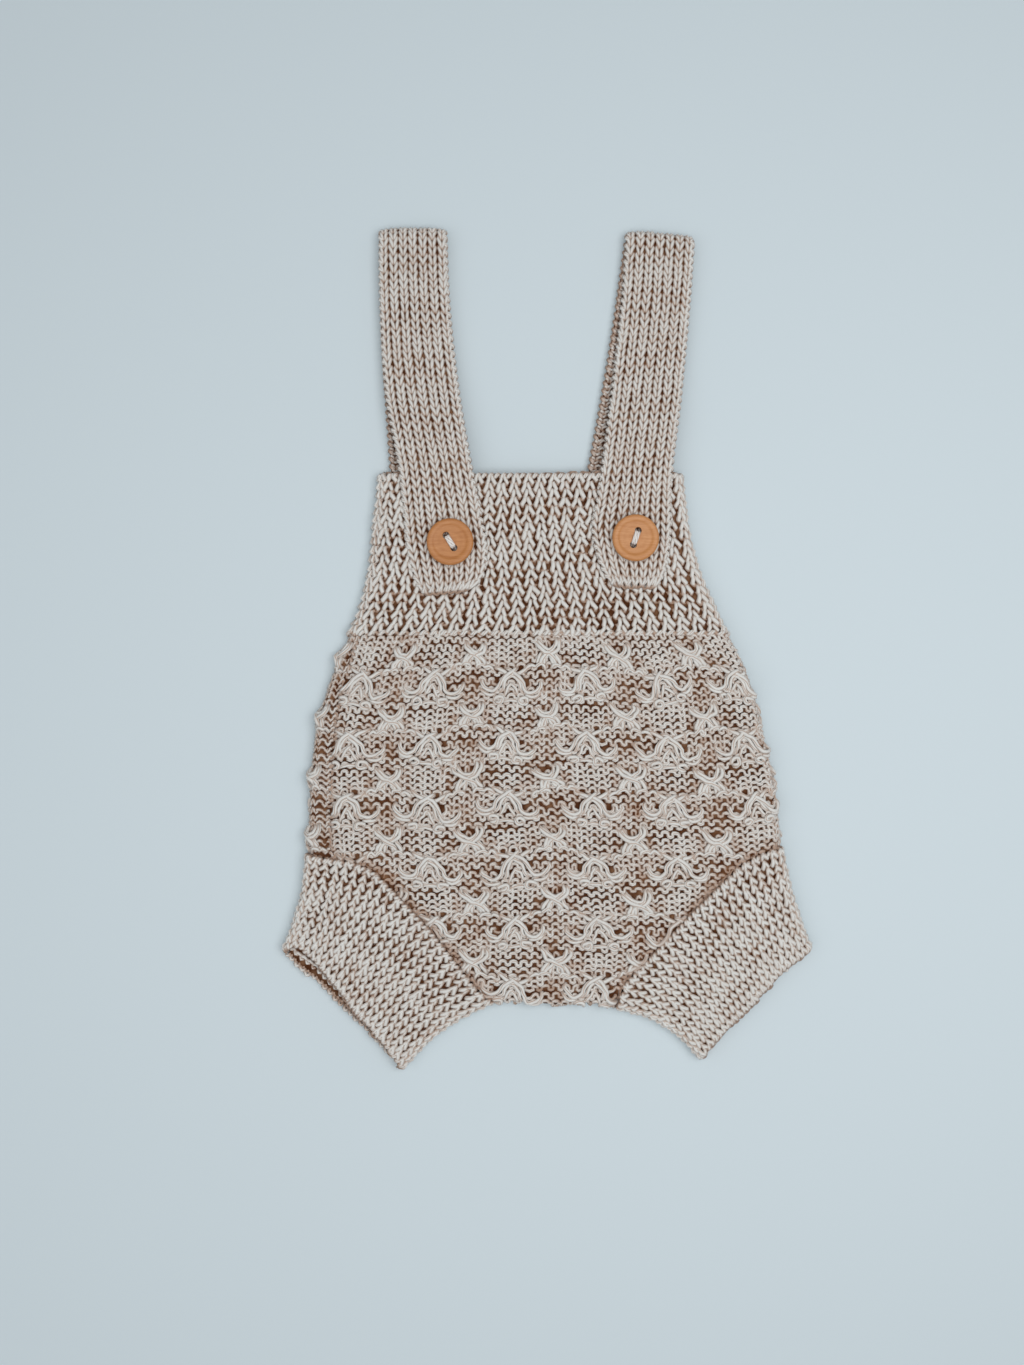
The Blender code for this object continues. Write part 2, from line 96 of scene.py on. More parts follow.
class StrapRow(NamedTuple):
    """One section across a strap, in mm; tilt is its rise to the right as a slope."""

    up: float
    centre: float
    width: float
    tilt: float


SIDES = [
    Row(up=68.0, left=-67.3, seam=-63.0, right=53.5, top=7.0),
    Row(up=49.3, left=-69.3, seam=-64.6, right=55.8, top=7.1),
    Row(up=30.5, left=-71.4, seam=-66.6, right=60.4, top=7.2),
    Row(up=17.9, left=-74.4, seam=-69.7, right=65.9, top=7.3),
    Row(up=6.4, left=-79.0, seam=-74.1, right=71.2, top=7.6),
    Row(up=-2.2, left=-82.4, seam=-77.2, right=75.5, top=7.8),
    Row(up=-11.6, left=-86.4, seam=-80.0, right=79.6, top=8.0),
    Row(up=-30.3, left=-91.6, seam=-83.2, right=84.4, top=8.2),
    Row(up=-53.1, left=-94.0, seam=-84.7, right=89.6, top=8.2),
    Row(up=-83.1, left=-94.8, seam=-84.6, right=92.0, top=8.0),
]

LEFT_LEG = [
    Place(-95.0, -79.1),
    Place(-84.6, -81.4),
    Place(-76.1, -82.2),
    Place(-67.9, -85.3),
    Place(-56.2, -97.0),
    Place(-44.5, -109.5),
    Place(-33.4, -124.1),
    Place(-26.8, -132.5),
    Place(-20.6, -138.0),
]
CROTCH = [
    Place(-16.6, -137.8),
    Place(-11.0, -138.1),
    Place(4.3, -139.5),
    Place(15.2, -138.7),
    Place(21.6, -139.4),
]
RIGHT_LEG = [
    Place(26.6, -140.1),
    Place(30.4, -129.0),
    Place(40.6, -118.4),
    Place(56.5, -101.3),
    Place(74.9, -83.7),
    Place(83.1, -78.9),
    Place(92.2, -76.3),
]
LOWER_EDGE = LEFT_LEG + CROTCH + RIGHT_LEG


class CuffShape(NamedTuple):
    """A leg cuff: its hem on the upper and lower side, and how far its two edges draw in, mm."""

    leg: list
    hem: list
    under_hem: list
    left_draw: tuple
    right_draw: tuple
    has_valley: bool


LEFT_CUFF = CuffShape(
    leg=LEFT_LEG,
    hem=[
        Place(-103.8, -115.7),
        Place(-95.6, -114.5),
        Place(-89.3, -122.0),
        Place(-81.1, -131.3),
        Place(-73.3, -141.4),
        Place(-66.3, -149.6),
        Place(-55.8, -163.7),
    ],
    under_hem=[
        Place(-103.8, -115.7),
        Place(-97.5, -123.1),
        Place(-87.0, -131.7),
        Place(-78.0, -140.3),
        Place(-69.8, -147.3),
        Place(-55.8, -163.7),
    ],
    left_draw=(2.0, 0.0),
    right_draw=(-1.7, 2.5),
    has_valley=True,
)
RIGHT_HEM = [
    Place(58.9, -159.4),
    Place(71.8, -145.0),
    Place(83.1, -133.3),
    Place(92.0, -124.3),
    Place(103.5, -115.7),
]
RIGHT_CUFF = CuffShape(
    leg=RIGHT_LEG,
    hem=RIGHT_HEM,
    under_hem=RIGHT_HEM,
    left_draw=(1.8, 3.2),
    right_draw=(-1.2, 0.0),
    has_valley=False,
)


class StrapShape(NamedTuple):
    """A strap's back run and front run."""

    back: list
    front: list


LEFT_STRAP = StrapShape(
    back=[
        StrapRow(up=68.3, centre=-48.0, width=26.4, tilt=0.0),
        StrapRow(up=85.9, centre=-49.2, width=26.4, tilt=0.0),
        StrapRow(up=110.5, centre=-50.9, width=26.2, tilt=0.0),
        StrapRow(up=163.8, centre=-52.4, width=26.2, tilt=0.0),
    ],
    front=[
        StrapRow(up=163.8, centre=-52.4, width=26.2, tilt=0.0),
        StrapRow(up=136.6, centre=-51.7, width=27.1, tilt=0.0),
        StrapRow(up=100.4, centre=-48.6, width=28.7, tilt=0.0),
        StrapRow(up=69.5, centre=-43.2, width=28.5, tilt=0.0),
        StrapRow(up=50.8, centre=-40.4, width=30.4, tilt=0.0),
        StrapRow(up=41.1, centre=-39.1, width=31.2, tilt=0.0),
        StrapRow(up=32.4, centre=-38.3, width=29.0, tilt=0.04),
        StrapRow(up=26.4, centre=-38.1, width=25.6, tilt=0.08),
        StrapRow(up=22.9, centre=-38.6, width=20.4, tilt=0.10),
    ],
)
RIGHT_STRAP = StrapShape(
    back=[
        StrapRow(up=68.3, centre=28.7, width=26.4, tilt=0.0),
        StrapRow(up=82.0, centre=31.3, width=26.4, tilt=0.0),
        StrapRow(up=117.1, centre=37.5, width=26.4, tilt=-0.05),
        StrapRow(up=161.8, centre=44.1, width=26.6, tilt=-0.09),
    ],
    front=[
        StrapRow(up=161.8, centre=44.1, width=26.6, tilt=-0.09),
        StrapRow(up=136.6, centre=42.4, width=26.6, tilt=-0.05),
        StrapRow(up=97.6, centre=38.3, width=27.4, tilt=0.0),
        StrapRow(up=69.5, centre=34.7, width=27.7, tilt=0.0),
        StrapRow(up=58.6, centre=33.6, width=28.8, tilt=0.0),
        StrapRow(up=46.9, centre=32.6, width=30.8, tilt=0.0),
        StrapRow(up=37.9, centre=33.0, width=28.4, tilt=0.0),
        StrapRow(up=29.4, centre=33.6, width=23.4, tilt=0.0),
        StrapRow(up=25.3, centre=33.8, width=19.0, tilt=0.0),
    ],
)


class ButtonPlace(NamedTuple):
    """Where a button sits, in mm, and which way its two holes lie, from +X, in degrees."""

    across: float
    up: float
    turn: float


LEFT_BUTTON = ButtonPlace(across=-37.5, up=41.5, turn=122)
RIGHT_BUTTON = ButtonPlace(across=33.8, up=43.0, turn=71)


# ---------------------------------------------------------------- reading the tables


OUTLINE_STEPS = 60          # points along the flat part of a section


def lerp(start: Amount, end: Amount, share: float) -> Amount:
    """A value between two others."""
    return start + (end - start) * share


def read_table(rows: Sequence, column: str, up: float) -> float:
    """One column of a table at any height, on a smooth curve through its rows.

    Args:
        rows: the table, each row with an up value.
        column: the column's name.
        up: where to read it, in mm.

    Returns:
        The column's value there.
    """
    ordered = sorted(rows, key=lambda row: row.up)
    ups = np.array([row.up for row in ordered])
    values = np.array([getattr(row, column) for row in ordered])
    slopes = np.gradient(values, ups)
    up = min(max(up, ups[0]), ups[-1])
    low = min(max(int(np.searchsorted(ups, up)) - 1, 0), len(ups) - 2)
    step = ups[low + 1] - ups[low]
    t = (up - ups[low]) / step
    start = values[low] * (2 * t ** 3 - 3 * t ** 2 + 1) + slopes[low] * step * (t ** 3 - 2 * t ** 2 + t)
    end = values[low + 1] * (3 * t ** 2 - 2 * t ** 3) + slopes[low + 1] * step * (t ** 3 - t ** 2)
    return float(start + end)


def front_height(up: float) -> float:
    """Height of the front cloth's upper side.

    Args:
        up: how far up to read it, in mm.

    Returns:
        The height in mm.
    """
    lowest = SIDES[-1]
    if up > lowest.up:
        return read_table(SIDES, "top", up)
    share = min((lowest.up - up) / (lowest.up - CROTCH_UP), 1.0)
    return lerp(lowest.top, CROTCH_TOP, share)


def section(up: float) -> Row:
    """The section across the bib or body at a distance up, in mm."""
    read = {name: read_table(SIDES, name, up) for name in ("left", "seam", "right")}
    return Row(up=up, top=front_height(up), **read)


def lower_edge(across: np.ndarray) -> np.ndarray:
    """How far up the lower edge of the body lies: a leg opening or the crotch, in mm."""
    places = [place.across for place in LOWER_EDGE]
    return np.interp(across, places, [place.up for place in LOWER_EDGE])


def edge_distance(across: np.ndarray, up: np.ndarray, places: Sequence[Place]) -> np.ndarray:
    """Distance from points to an outline, all in mm.

    Args:
        across: the points' places across.
        up: their places up.
        places: the outline.

    Returns:
        Each point's distance.
    """
    best = np.full(np.shape(across), 1e9)
    for start, end in zip(places, places[1:]):
        run = np.array([end.across - start.across, end.up - start.up])
        share = ((across - start.across) * run[0] + (up - start.up) * run[1]) / (run @ run)
        share = np.clip(share, 0.0, 1.0)
        away = np.hypot(across - start.across - share * run[0], up - start.up - share * run[1])
        best = np.minimum(best, away)
    return best


def upper_side(row: Row, across: np.ndarray) -> np.ndarray:
    """Height of the upper side of the cloth, which sinks into a valley along the left seam.

    Args:
        row: the section.
        across: where to read it, in mm.

    Returns:
        The heights in mm.
    """
    off = np.asarray(across) - row.seam
    level = row.top - np.where(off < 0, EDGE_DROP, 0.0)
    floor = row.top - SEAM_DEPTH
    return level - (level - floor) * np.exp(-((off / SEAM_WIDTH) ** 2))


def fold(centre: float, height: float, start: float, steps: int = 10) -> np.ndarray:
    """Points round a folded edge: start 0 turns down at the right, pi turns up at the left."""
    angle = start + math.pi * np.arange(1, steps + 1) / steps
    return np.stack([centre + height / 2 * np.sin(angle), height / 2 * (1 + np.cos(angle))], axis=1)


def front_outline(row: Row) -> np.ndarray:
    """The line of the front cloth, from the left seam round the right edge.

    Args:
        row: the section.

    Returns:
        Across and height of its points, in mm.
    """
    across = np.linspace(row.seam + GAP / 2, row.right - row.top / 2, OUTLINE_STEPS)
    points = np.stack([across, upper_side(row, across)], axis=1)
    under = np.linspace(row.right - row.top / 2, row.right - UNDER_SEAM + GAP / 2, 4)[1:]
    flat = np.stack([under, np.zeros(3)], axis=1)
    return np.concatenate([points, fold(across[-1], points[-1, 1], 0.0), flat])


def back_outline(row: Row) -> np.ndarray:
    """The line of the back cloth, from the right seam underneath round the left edge.

    Args:
        row: the section.

    Returns:
        Across and height of its points, in mm.
    """
    end = row.left + row.top / 2
    across = np.linspace(row.right - UNDER_SEAM - GAP / 2, end, OUTLINE_STEPS)
    flat = np.stack([across, np.zeros(OUTLINE_STEPS)], axis=1)
    height = float(upper_side(row, end))
    rolled = np.linspace(end, row.seam - GAP / 2, 6)[1:]
    rest = np.stack([rolled, upper_side(row, rolled)], axis=1)
    return np.concatenate([flat, fold(end, height, math.pi), rest])


def lengths_along(points: np.ndarray) -> np.ndarray:
    """How far along a line each of its points lies."""
    return np.concatenate([[0.0], np.cumsum(np.linalg.norm(np.diff(points, axis=0), axis=1))])


def read_line(points: np.ndarray, lengths: np.ndarray, at: np.ndarray) -> np.ndarray:
    """The columns of a line's points, read at some distances along it."""
    return np.stack([np.interp(at, lengths, points[:, k]) for k in range(points.shape[1])], axis=1)


def even(points: np.ndarray, count: int) -> np.ndarray:
    """A line of points read again at even distances along it."""
    lengths = lengths_along(points)
    return read_line(points, lengths, np.linspace(0.0, lengths[-1], count))


def at_share(places: Sequence[Place], share: float) -> np.ndarray:
    """The point at a share of an outline's length.

    Args:
        places: the outline.
        share: from 0 at its start to 1 at its end.

    Returns:
        Across and up, in mm.
    """
    points = np.array([(place.across, place.up) for place in places])
    lengths = lengths_along(points)
    return read_line(points, lengths, np.array([share * lengths[-1]]))[0]


def outline_length(places: Sequence[Place]) -> float:
    """Length of an outline in mm."""
    return sum(math.dist(start, end) for start, end in zip(places, places[1:]))


# ---------------------------------------------------------------- cloth as a surface


READINGS = 200              # points along a line whose length is measured


@dataclass
class ClothMap:
    """The upper side of a cloth, read by two shares: u across its wales and v along them.

    Attributes:
        points: rows by columns by three, in metres.
        closed: whether the columns run round a tube.
        normals: the outward unit normals at the points.
    """

    points: np.ndarray
    closed: bool = False
    normals: np.ndarray = field(init=False)

    def __post_init__(self) -> None:
        """Work out the outward normals."""
        grid = self.points
        if self.closed:
            grid = np.concatenate([grid[:, -2:-1], grid, grid[:, 1:2]], axis=1)
        across = np.gradient(grid, axis=1)
        along = np.gradient(grid, axis=0)
        normals = np.cross(along, across)
        if self.closed:
            normals = normals[:, 1:-1]
        self.normals = normals / np.linalg.norm(normals, axis=2, keepdims=True)

    def _read(self, table: np.ndarray, u: np.ndarray, v: np.ndarray) -> np.ndarray:
        """Blend a table of values.

        Args:
            table: rows by columns by values.
            u: shares across.
            v: shares along the wales.

        Returns:
            The values at each pair of shares.
        """
        rows, columns = table.shape[:2]
        x = (u % 1.0 if self.closed else u) * (columns - 1)
        y = v * (rows - 1)
        left = np.clip(np.floor(x).astype(int), 0, columns - 2)
        low = np.clip(np.floor(y).astype(int), 0, rows - 2)
        fx = (x - left)[..., None]
        fy = (y - low)[..., None]
        upper = table[low, left] * (1 - fx) + table[low, left + 1] * fx
        lower = table[low + 1, left] * (1 - fx) + table[low + 1, left + 1] * fx
        return upper * (1 - fy) + lower * fy

    def at(self, u: np.ndarray, v: np.ndarray, lift: np.ndarray) -> tuple[np.ndarray, np.ndarray]:
        """Points on or off the cloth.

        Args:
            u: shares across.
            v: shares along the wales.
            lift: distance out along the normal, in metres.

        Returns:
            The points and the cloth's unit normals there.
        """
        normal = self._read(self.normals, u, v)
        normal = normal / np.linalg.norm(normal, axis=-1, keepdims=True)
        return self._read(self.points, u, v) + normal * np.asarray(lift)[..., None], normal

    def width(self, v: float) -> float:
        """Length across at a share along, in metres."""
        return self._measure(np.linspace(0, 0.999999, READINGS), np.full(READINGS, v))

    def length(self, u: float) -> float:
        """Length along the wales at a share across, in metres."""
        return self._measure(np.full(READINGS, u), np.linspace(0, 1, READINGS))

    def _measure(self, u: np.ndarray, v: np.ndarray) -> float:
        """Length of a line on the cloth, in metres."""
        line = self._read(self.points, u, v)
        return float(np.linalg.norm(np.diff(line, axis=0), axis=1).sum())


class Crease(NamedTuple):
    """A soft trough in the upper cloth, from one place to another, in mm."""

    start: Place
    end: Place
    depth: float
    width: float


CREASES = [
    Crease(Place(-30.0, 60.0), Place(-22.0, 12.0), depth=0.35, width=5.0),
    Crease(Place(14.0, 62.0), Place(20.0, 16.0), depth=0.3, width=4.5),
    Crease(Place(49.0, 58.0), Place(56.0, 20.0), depth=0.7, width=3.0),
    Crease(Place(-60.0, 24.0), Place(-68.0, -10.0), depth=0.5, width=4.0),
    Crease(Place(62.0, -4.0), Place(80.0, -46.0), depth=0.6, width=5.0),
    Crease(Place(-70.0, -40.0), Place(-58.0, -84.0), depth=0.45, width=6.0),
    Crease(Place(-12.0, -100.0), Place(-4.0, -132.0), depth=0.5, width=7.0),
    Crease(Place(40.0, -70.0), Place(52.0, -96.0), depth=0.4, width=6.0),
]


CROWN = 0.5                 # how far the upper cloth rises above its packed height, mm
MAP_STEP = 0.9              # between the rows of a body map, mm
MAP_COLUMNS = 200
RIM_LIFT = 0.4              # how far the turned crotch edges lie off half height, mm


def relief(across: np.ndarray, up: np.ndarray) -> np.ndarray:
    """How far the upper cloth lies above its packed height: a low crown, waves and creases.

    Args:
        across: places across, in mm.
        up: places up, in mm.

    Returns:
        The rise at each place, in mm.
    """
    waves = 0.22 * np.sin(across / 9.1 + 0.7 + up / 23.0) + 0.2 * np.sin(up / 11.3 + across / 31.0)
    total = CROWN + waves
    for crease in CREASES:
        away = edge_distance(across, up, [crease.start, crease.end])
        total = total - crease.depth * np.exp(-((away / crease.width) ** 2))
    return total


def body_map(outline: Callable[[Row], np.ndarray], facing_up: bool, top: float, bottom: float) -> ClothMap:
    """The cloth of the bib or the body on one side.

    Args:
        outline: gives the section's line.
        facing_up: whether this is the front.
        top: upper end, in mm.
        bottom: lower end, in mm.

    Returns:
        The cloth's map, its rows at even steps down.
    """
    rows = int((top - bottom) / MAP_STEP) + 2
    grid = []
    for up in np.linspace(top, bottom, rows):
        row = section(up)
        line = even(outline(row), MAP_COLUMNS)
        across, height = line[:, 0], line[:, 1].copy()
        share = np.clip(height / row.top, 0.0, 1.0)
        height += relief(across, np.full_like(across, up)) * share ** 2
        inside = (across > LEFT_LEG[-1].across - 2) & (across < RIGHT_LEG[0].across + 2)
        above = up - lower_edge(across)
        turn = 1.0 - np.clip(above / CROTCH_RUN, 0.0, 1.0)
        flat = height if facing_up else height * 0
        rim = row.top / 2 + (RIM_LIFT if facing_up else -RIM_LIFT)
        rolled = rim + (flat - rim) * np.sqrt(np.clip(1.0 - turn ** 2, 0.0, 1.0))
        height = np.where(inside & (above < CROTCH_RUN), rolled, height)
        grid.append(np.stack([across, np.full_like(across, up), height], axis=1))
    return ClothMap(np.array(grid) * MM)


NO_VALLEY = -1e3            # a seam so far off that it makes no valley, mm
CUFF_ROWS = 50
CUFF_SIDE = 70              # points along one side of the tube
CUFF_COLUMNS = 240
CUFF_START = 0.4            # how far below the leg opening the cuff begins, mm
CUFF_BULGE = 0.9            # how far the cuff puffs up beside the leg opening, mm
CUFF_WAVE = 0.25            # height of the waves round the cuff, mm


def cuff_map(shape: CuffShape) -> ClothMap:
    """The cloth of a leg cuff, a flattened tube from the leg opening to its hem.

    Args:
        shape: the cuff's tables.

    Returns:
        The cloth's map, its columns round the tube.
    """
    seam = SIDES[-1].seam - SIDES[-1].left if shape.has_valley else NO_VALLEY
    grid = []
    for share_down in np.linspace(0.0, 1.0, CUFF_ROWS):
        width = lerp(outline_length(shape.leg), outline_length(shape.hem), share_down)
        middle = lerp(at_share(shape.leg, 0.5), at_share(shape.hem, 0.5), share_down)
        row = Row(up=middle[1], left=0.0, seam=seam, right=width, top=front_height(middle[1]))
        left_fold, right_fold = row.top / 2, width - row.top / 2
        across = np.linspace(left_fold, right_fold, CUFF_SIDE)
        upper = np.stack([across, upper_side(row, across)], axis=1)
        lower = np.stack([across[::-1], np.zeros(CUFF_SIDE)], axis=1)
        left_height = float(upper_side(row, left_fold))
        loop = np.concatenate([upper, fold(right_fold, row.top, 0.0), lower,
                               fold(left_fold, left_height, math.pi)])
        line = []
        for off, height in even(loop, CUFF_COLUMNS):
            share = off / width
            raised = min(height / row.top, 1.0)
            hem = lerp(at_share(shape.under_hem, share), at_share(shape.hem, share), raised)
            start = at_share(shape.leg, share)
            start = start + (hem - start) / np.linalg.norm(hem - start) * CUFF_START
            place = lerp(start, hem, share_down)
            draw = np.array(shape.left_draw) * (1 - share) ** 2 + np.array(shape.right_draw) * share ** 2
            place = place + draw * math.sin(math.pi * share_down)
            level = front_height(place[1])
            bulge = CUFF_BULGE * math.exp(-((share_down / 0.16) ** 2)) * raised ** 2
            wave = CUFF_WAVE * math.sin(off / 7.0 + 3 * share_down) * raised ** 2
            line.append((place[0], place[1], height * level / row.top + bulge + wave))
        grid.append(line)
    return ClothMap(np.array(grid) * MM, closed=True)


def strap_height(up: float) -> float:
    """Height of the upper side of a strap's front run.

    Args:
        up: how far up to read it, in mm.

    Returns:
        The height in mm.
    """
    on_bib = front_height(up) + GAP + CLOTH
    share = min(max((STRAP_LIFT_START - up) / (STRAP_LIFT_START - STRAP_LIFT_END), 0.0), 1.0)
    return lerp(STRAP_FOLD, on_bib, share * share * (3 - 2 * share))


STRAP_COLUMNS = 41
STRAP_ROWS = 200


def strap_map(shape: StrapShape, curl: float = 1.1) -> ClothMap:
    """The cloth of a strap: back run, fold at the shoulder, front run down over the bib.

    Args:
        shape: the strap's tables.
        curl: how far its selvedges curl in, in mm.

    Returns:
        The cloth's map, its rows at even steps along the strap.
    """
    radius = STRAP_FOLD / 2
    fold_up = shape.front[0].up - radius + FOLD_REACH
    end = shape.front[-1].up
    shares = np.linspace(-0.5, 0.5, STRAP_COLUMNS)
    lines = []

    def line(rows: Sequence[StrapRow], up: float, height: float, reach: float, turn: float) -> None:
        """Add one line across the strap.

        Args:
            rows: the run's table.
            up: where to read it, in mm.
            height: the line's height, in mm.
            reach: how much further up than that it lies, in mm.
            turn: the angle of its normal from straight down.
        """
        centre, width, tilt = (read_table(rows, name, up) for name in ("centre", "width", "tilt"))
        sink = curl * np.abs(2 * shares) ** 5
        offset = shares * width
        out = np.array([0.0, math.sin(turn), -math.cos(turn)])
        places = up + reach + tilt * offset
        base = np.stack([centre + offset, places, np.full(STRAP_COLUMNS, height)], axis=1)
        lines.append(base - sink[:, None] * out)

    for up in np.linspace(shape.back[0].up, fold_up, 40):
        line(shape.back, up, 0.0, 0.0, 0.0)
    for angle in np.linspace(0.0, math.pi, 13)[1:]:
        line(shape.front, fold_up, radius * (1 - math.cos(angle)), radius * math.sin(angle), angle)
    for up in np.linspace(fold_up, end, 60)[1:]:
        line(shape.front, up, strap_height(up), 0.0, math.pi)
    points = np.array(lines)
    lengths = lengths_along(points[:, STRAP_COLUMNS // 2])
    at = np.linspace(0.0, lengths[-1], STRAP_ROWS)
    spread = read_line(points.reshape(len(points), -1), lengths, at)
    return ClothMap(spread.reshape(STRAP_ROWS, STRAP_COLUMNS, 3) * MM)


# ---------------------------------------------------------------- yarn


SPILL = 0.012               # how much wider the yarn reaches than the cloth, as a share


class Face(Enum):
    """Which side of a stitch shows."""

    KNIT = 1
    PURL = -1


@dataclass(frozen=True)
class Loop:
    """The path of one stitch, a wave that runs along its course.

    Attributes:
        face: the side that shows.
        lean: how far the legs spread towards the head, in stitch widths.
        height: half the loop's height, in rows.
        depth: half of how far the yarn goes in and out, in mm.
        steps: where the path's points lie along the stitch, from 0 to 1.
        radius: the yarn's radius, in mm.
        pinch: how far the legs are drawn to the middle of the stitch, in stitch widths.
        sway: how far every other course lies to the side, in stitch widths.
        bold: how much thicker and higher one leg is than the other, by turns in every other
            course, as hand knitting worked to and fro has it.
        slim: how much thinner the yarn is where it passes from leg to leg, as a share.
    """

    face: Face
    lean: float
    height: float
    depth: float
    steps: tuple
    radius: float
    pinch: float = 0.0
    sway: float = 0.0
    bold: float = 0.0
    slim: float = 0.0


# Where the points of a stitch lie: on legs, on arcs, and, with fewer of them, on hidden sides.
LEG_STEPS = (0.0, 0.08, 0.16, 0.24, 0.32, 0.41, 0.5, 0.59, 0.68, 0.76, 0.84, 0.92)
ARC_STEPS = (0.0, 0.10, 0.19, 0.28, 0.38, 0.5, 0.62, 0.72, 0.81, 0.90)
FEW_STEPS = (0.0, 0.16, 0.27, 0.5, 0.73, 0.84)

RIB = Loop(Face.KNIT, lean=0.215, height=0.72, depth=0.95, steps=LEG_STEPS, radius=0.93, pinch=0.055,
           sway=0.08, bold=0.3, slim=0.12)
UNDER_RIB = replace(RIB, steps=FEW_STEPS, radius=1.1, pinch=0.03)
CUFF_RIB = Loop(Face.KNIT, lean=0.26, height=0.8, depth=1.0, steps=LEG_STEPS, radius=0.88, pinch=0.105,
                sway=0.09, bold=0.45, slim=0.25)
STOCKING = Loop(Face.KNIT, lean=0.245, height=0.93, depth=0.7, steps=LEG_STEPS, radius=0.76, pinch=0.025,
                slim=0.22)
PURL_GROUND = Loop(Face.PURL, lean=0.095, height=0.34, depth=0.14, steps=ARC_STEPS, radius=0.72,
                   pinch=0.04)
UNDER_PURL = replace(PURL_GROUND, steps=FEW_STEPS)


class YarnMesh:
    """Lengths of yarn that become one piece."""

    def __init__(self, name: str, sides: int) -> None:
        """Start an empty piece.

        Args:
            name: the piece's name.
            sides: how many faces run round the yarn.
        """
        self.name = name
        self.sides = sides
        self.vertices: list[np.ndarray] = []
        self.faces: list[np.ndarray] = []
        self.caps: list[list[int]] = []
        self.corners: list[np.ndarray] = []
        self.depths: list[np.ndarray] = []
        self.count = 0

    def add(self, points: np.ndarray, normals: np.ndarray, radius: np.ndarray, lift: np.ndarray,
            along: np.ndarray) -> None:
        """Add one length of yarn.

        Args:
            points: its middle line, in metres; where it would sink into the floor it lies on it.
            normals: the cloth's normals there.
            radius: the yarn's radius at each point, in metres.
            lift: how far each point lies from the cloth's upper side, in metres, which sets its painted
                shade.
            along: how far along the yarn each point lies, one for each stitch.
        """
        points = points.copy()
        points[:, 2] = np.maximum(points[:, 2], radius)
        tangent = np.gradient(points, axis=0)
        tangent /= np.linalg.norm(tangent, axis=1, keepdims=True) + 1e-12
        side = np.cross(tangent, normals)
        side /= np.linalg.norm(side, axis=1, keepdims=True) + 1e-12
        out = np.cross(side, tangent)
        angle = 2 * math.pi * np.arange(self.sides) / self.sides
        spread = radius[:, None, None]
        rings = (points[:, None, :] + np.cos(angle)[None, :, None] * out[:, None, :] * spread
                 + np.sin(angle)[None, :, None] * side[:, None, :] * spread)
        # Painted shade: each corner's depth adds its height round the yarn to the lift, so the finish paints
        # the yarn's outer side paler and its inner side darker; mirrored about the yarn's level, the cloth's
        # other side is painted alike.
        facing = (out * normals).sum(axis=1)
        depth = lift[:, None] + radius[:, None] * np.cos(angle)[None, :] * facing[:, None]
        depth = YARN_LEVEL * MM + np.abs(depth - YARN_LEVEL * MM)
        count = len(points)
        index = np.arange(count * self.sides).reshape(count, self.sides) + self.count
        turned = np.roll(index, -1, axis=1)
        quads = np.stack([index[:-1], turned[:-1], turned[1:], index[1:]], axis=2).reshape(-1, 4)
        u0, u1 = along[:-1] % 1.0, along[1:] % 1.0
        u1 = np.where(u1 <= u0, u1 + 1.0, u1)
        v0 = np.arange(self.sides) / self.sides
        v1 = v0 + 1.0 / self.sides
        u0, u1 = (np.repeat(u[:, None], self.sides, axis=1) for u in (u0, u1))
        v0, v1 = (np.repeat(v[None, :], count - 1, axis=0) for v in (v0, v1))
        uv = np.stack([np.stack([u0, v0], 2), np.stack([u0, v1], 2), np.stack([u1, v1], 2),
                       np.stack([u1, v0], 2)], axis=2)
        self.vertices.append(rings.reshape(-1, 3))
        self.faces.append(quads)
        self.corners.append(uv.reshape(-1, 2))
        self.caps += [index[0][::-1].tolist(), index[-1].tolist()]
        self.depths.append(depth.reshape(-1))
        self.count += count * self.sides

    def build(self, material: bpy.types.Material) -> bpy.types.Object:
        """Make the piece's object from all its yarn.

        Args:
            material: its finish.

        Returns:
            The finished object, with the yarn's map and its depth as an attribute, from which its finish
            paints shade.
        """
        quads = np.concatenate(self.faces)
        caps = np.array(self.caps)
        mesh = bpy.data.meshes.new(self.name)
        vertices = np.concatenate(self.vertices)
        mesh.vertices.add(len(vertices))
        mesh.vertices.foreach_set("co", vertices.astype(np.float32).ravel())
        corners = np.concatenate([quads.ravel(), caps.ravel()])
        mesh.loops.add(len(corners))
        mesh.loops.foreach_set("vertex_index", corners.astype(np.int32))
        starts = np.concatenate([np.arange(len(quads)) * 4,
                                 len(quads) * 4 + np.arange(len(caps)) * self.sides])
        mesh.polygons.add(len(starts))
        mesh.polygons.foreach_set("loop_start", starts.astype(np.int32))
        mesh.update(calc_edges=True)
        uv = np.concatenate(self.corners + [np.full((caps.size, 2), 0.5)])
        layer = mesh.uv_layers.new(name="OFBake")
        layer.data.foreach_set("uv", np.clip(uv, 0.0, 1.0).astype(np.float32).ravel())
        depth = mesh.attributes.new("depth", "FLOAT", "POINT")
        depth.data.foreach_set("value", (np.concatenate(self.depths) / MM).astype(np.float32))
        mesh.shade_smooth()
        mesh.materials.append(material)
        mesh.validate()
        return add_object(self.name, mesh)


@dataclass(frozen=True)
class Hand:
    """How uneven hand knitting is, each value a spread from stitch to stitch.

    Attributes:
        lean: of the legs' lean, as a share.
        slide: of the loop's place across, in stitch widths.
        height: of the loop's height, as a share.
        girth: of the yarn's radius, as a share.
        drop: of the loop's place along, in rows.
        depth: of how far the yarn goes in and out, as a share.
        lift: of the loop's height off the cloth, in mm.
        wander: how far a whole course strays along, in rows.
    """

    lean: float = 0.12
    slide: float = 0.035
    height: float = 0.06
    girth: float = 0.05
    drop: float = 0.05
    depth: float = 0.1
    lift: float = 0.10
    wander: float = 0.13


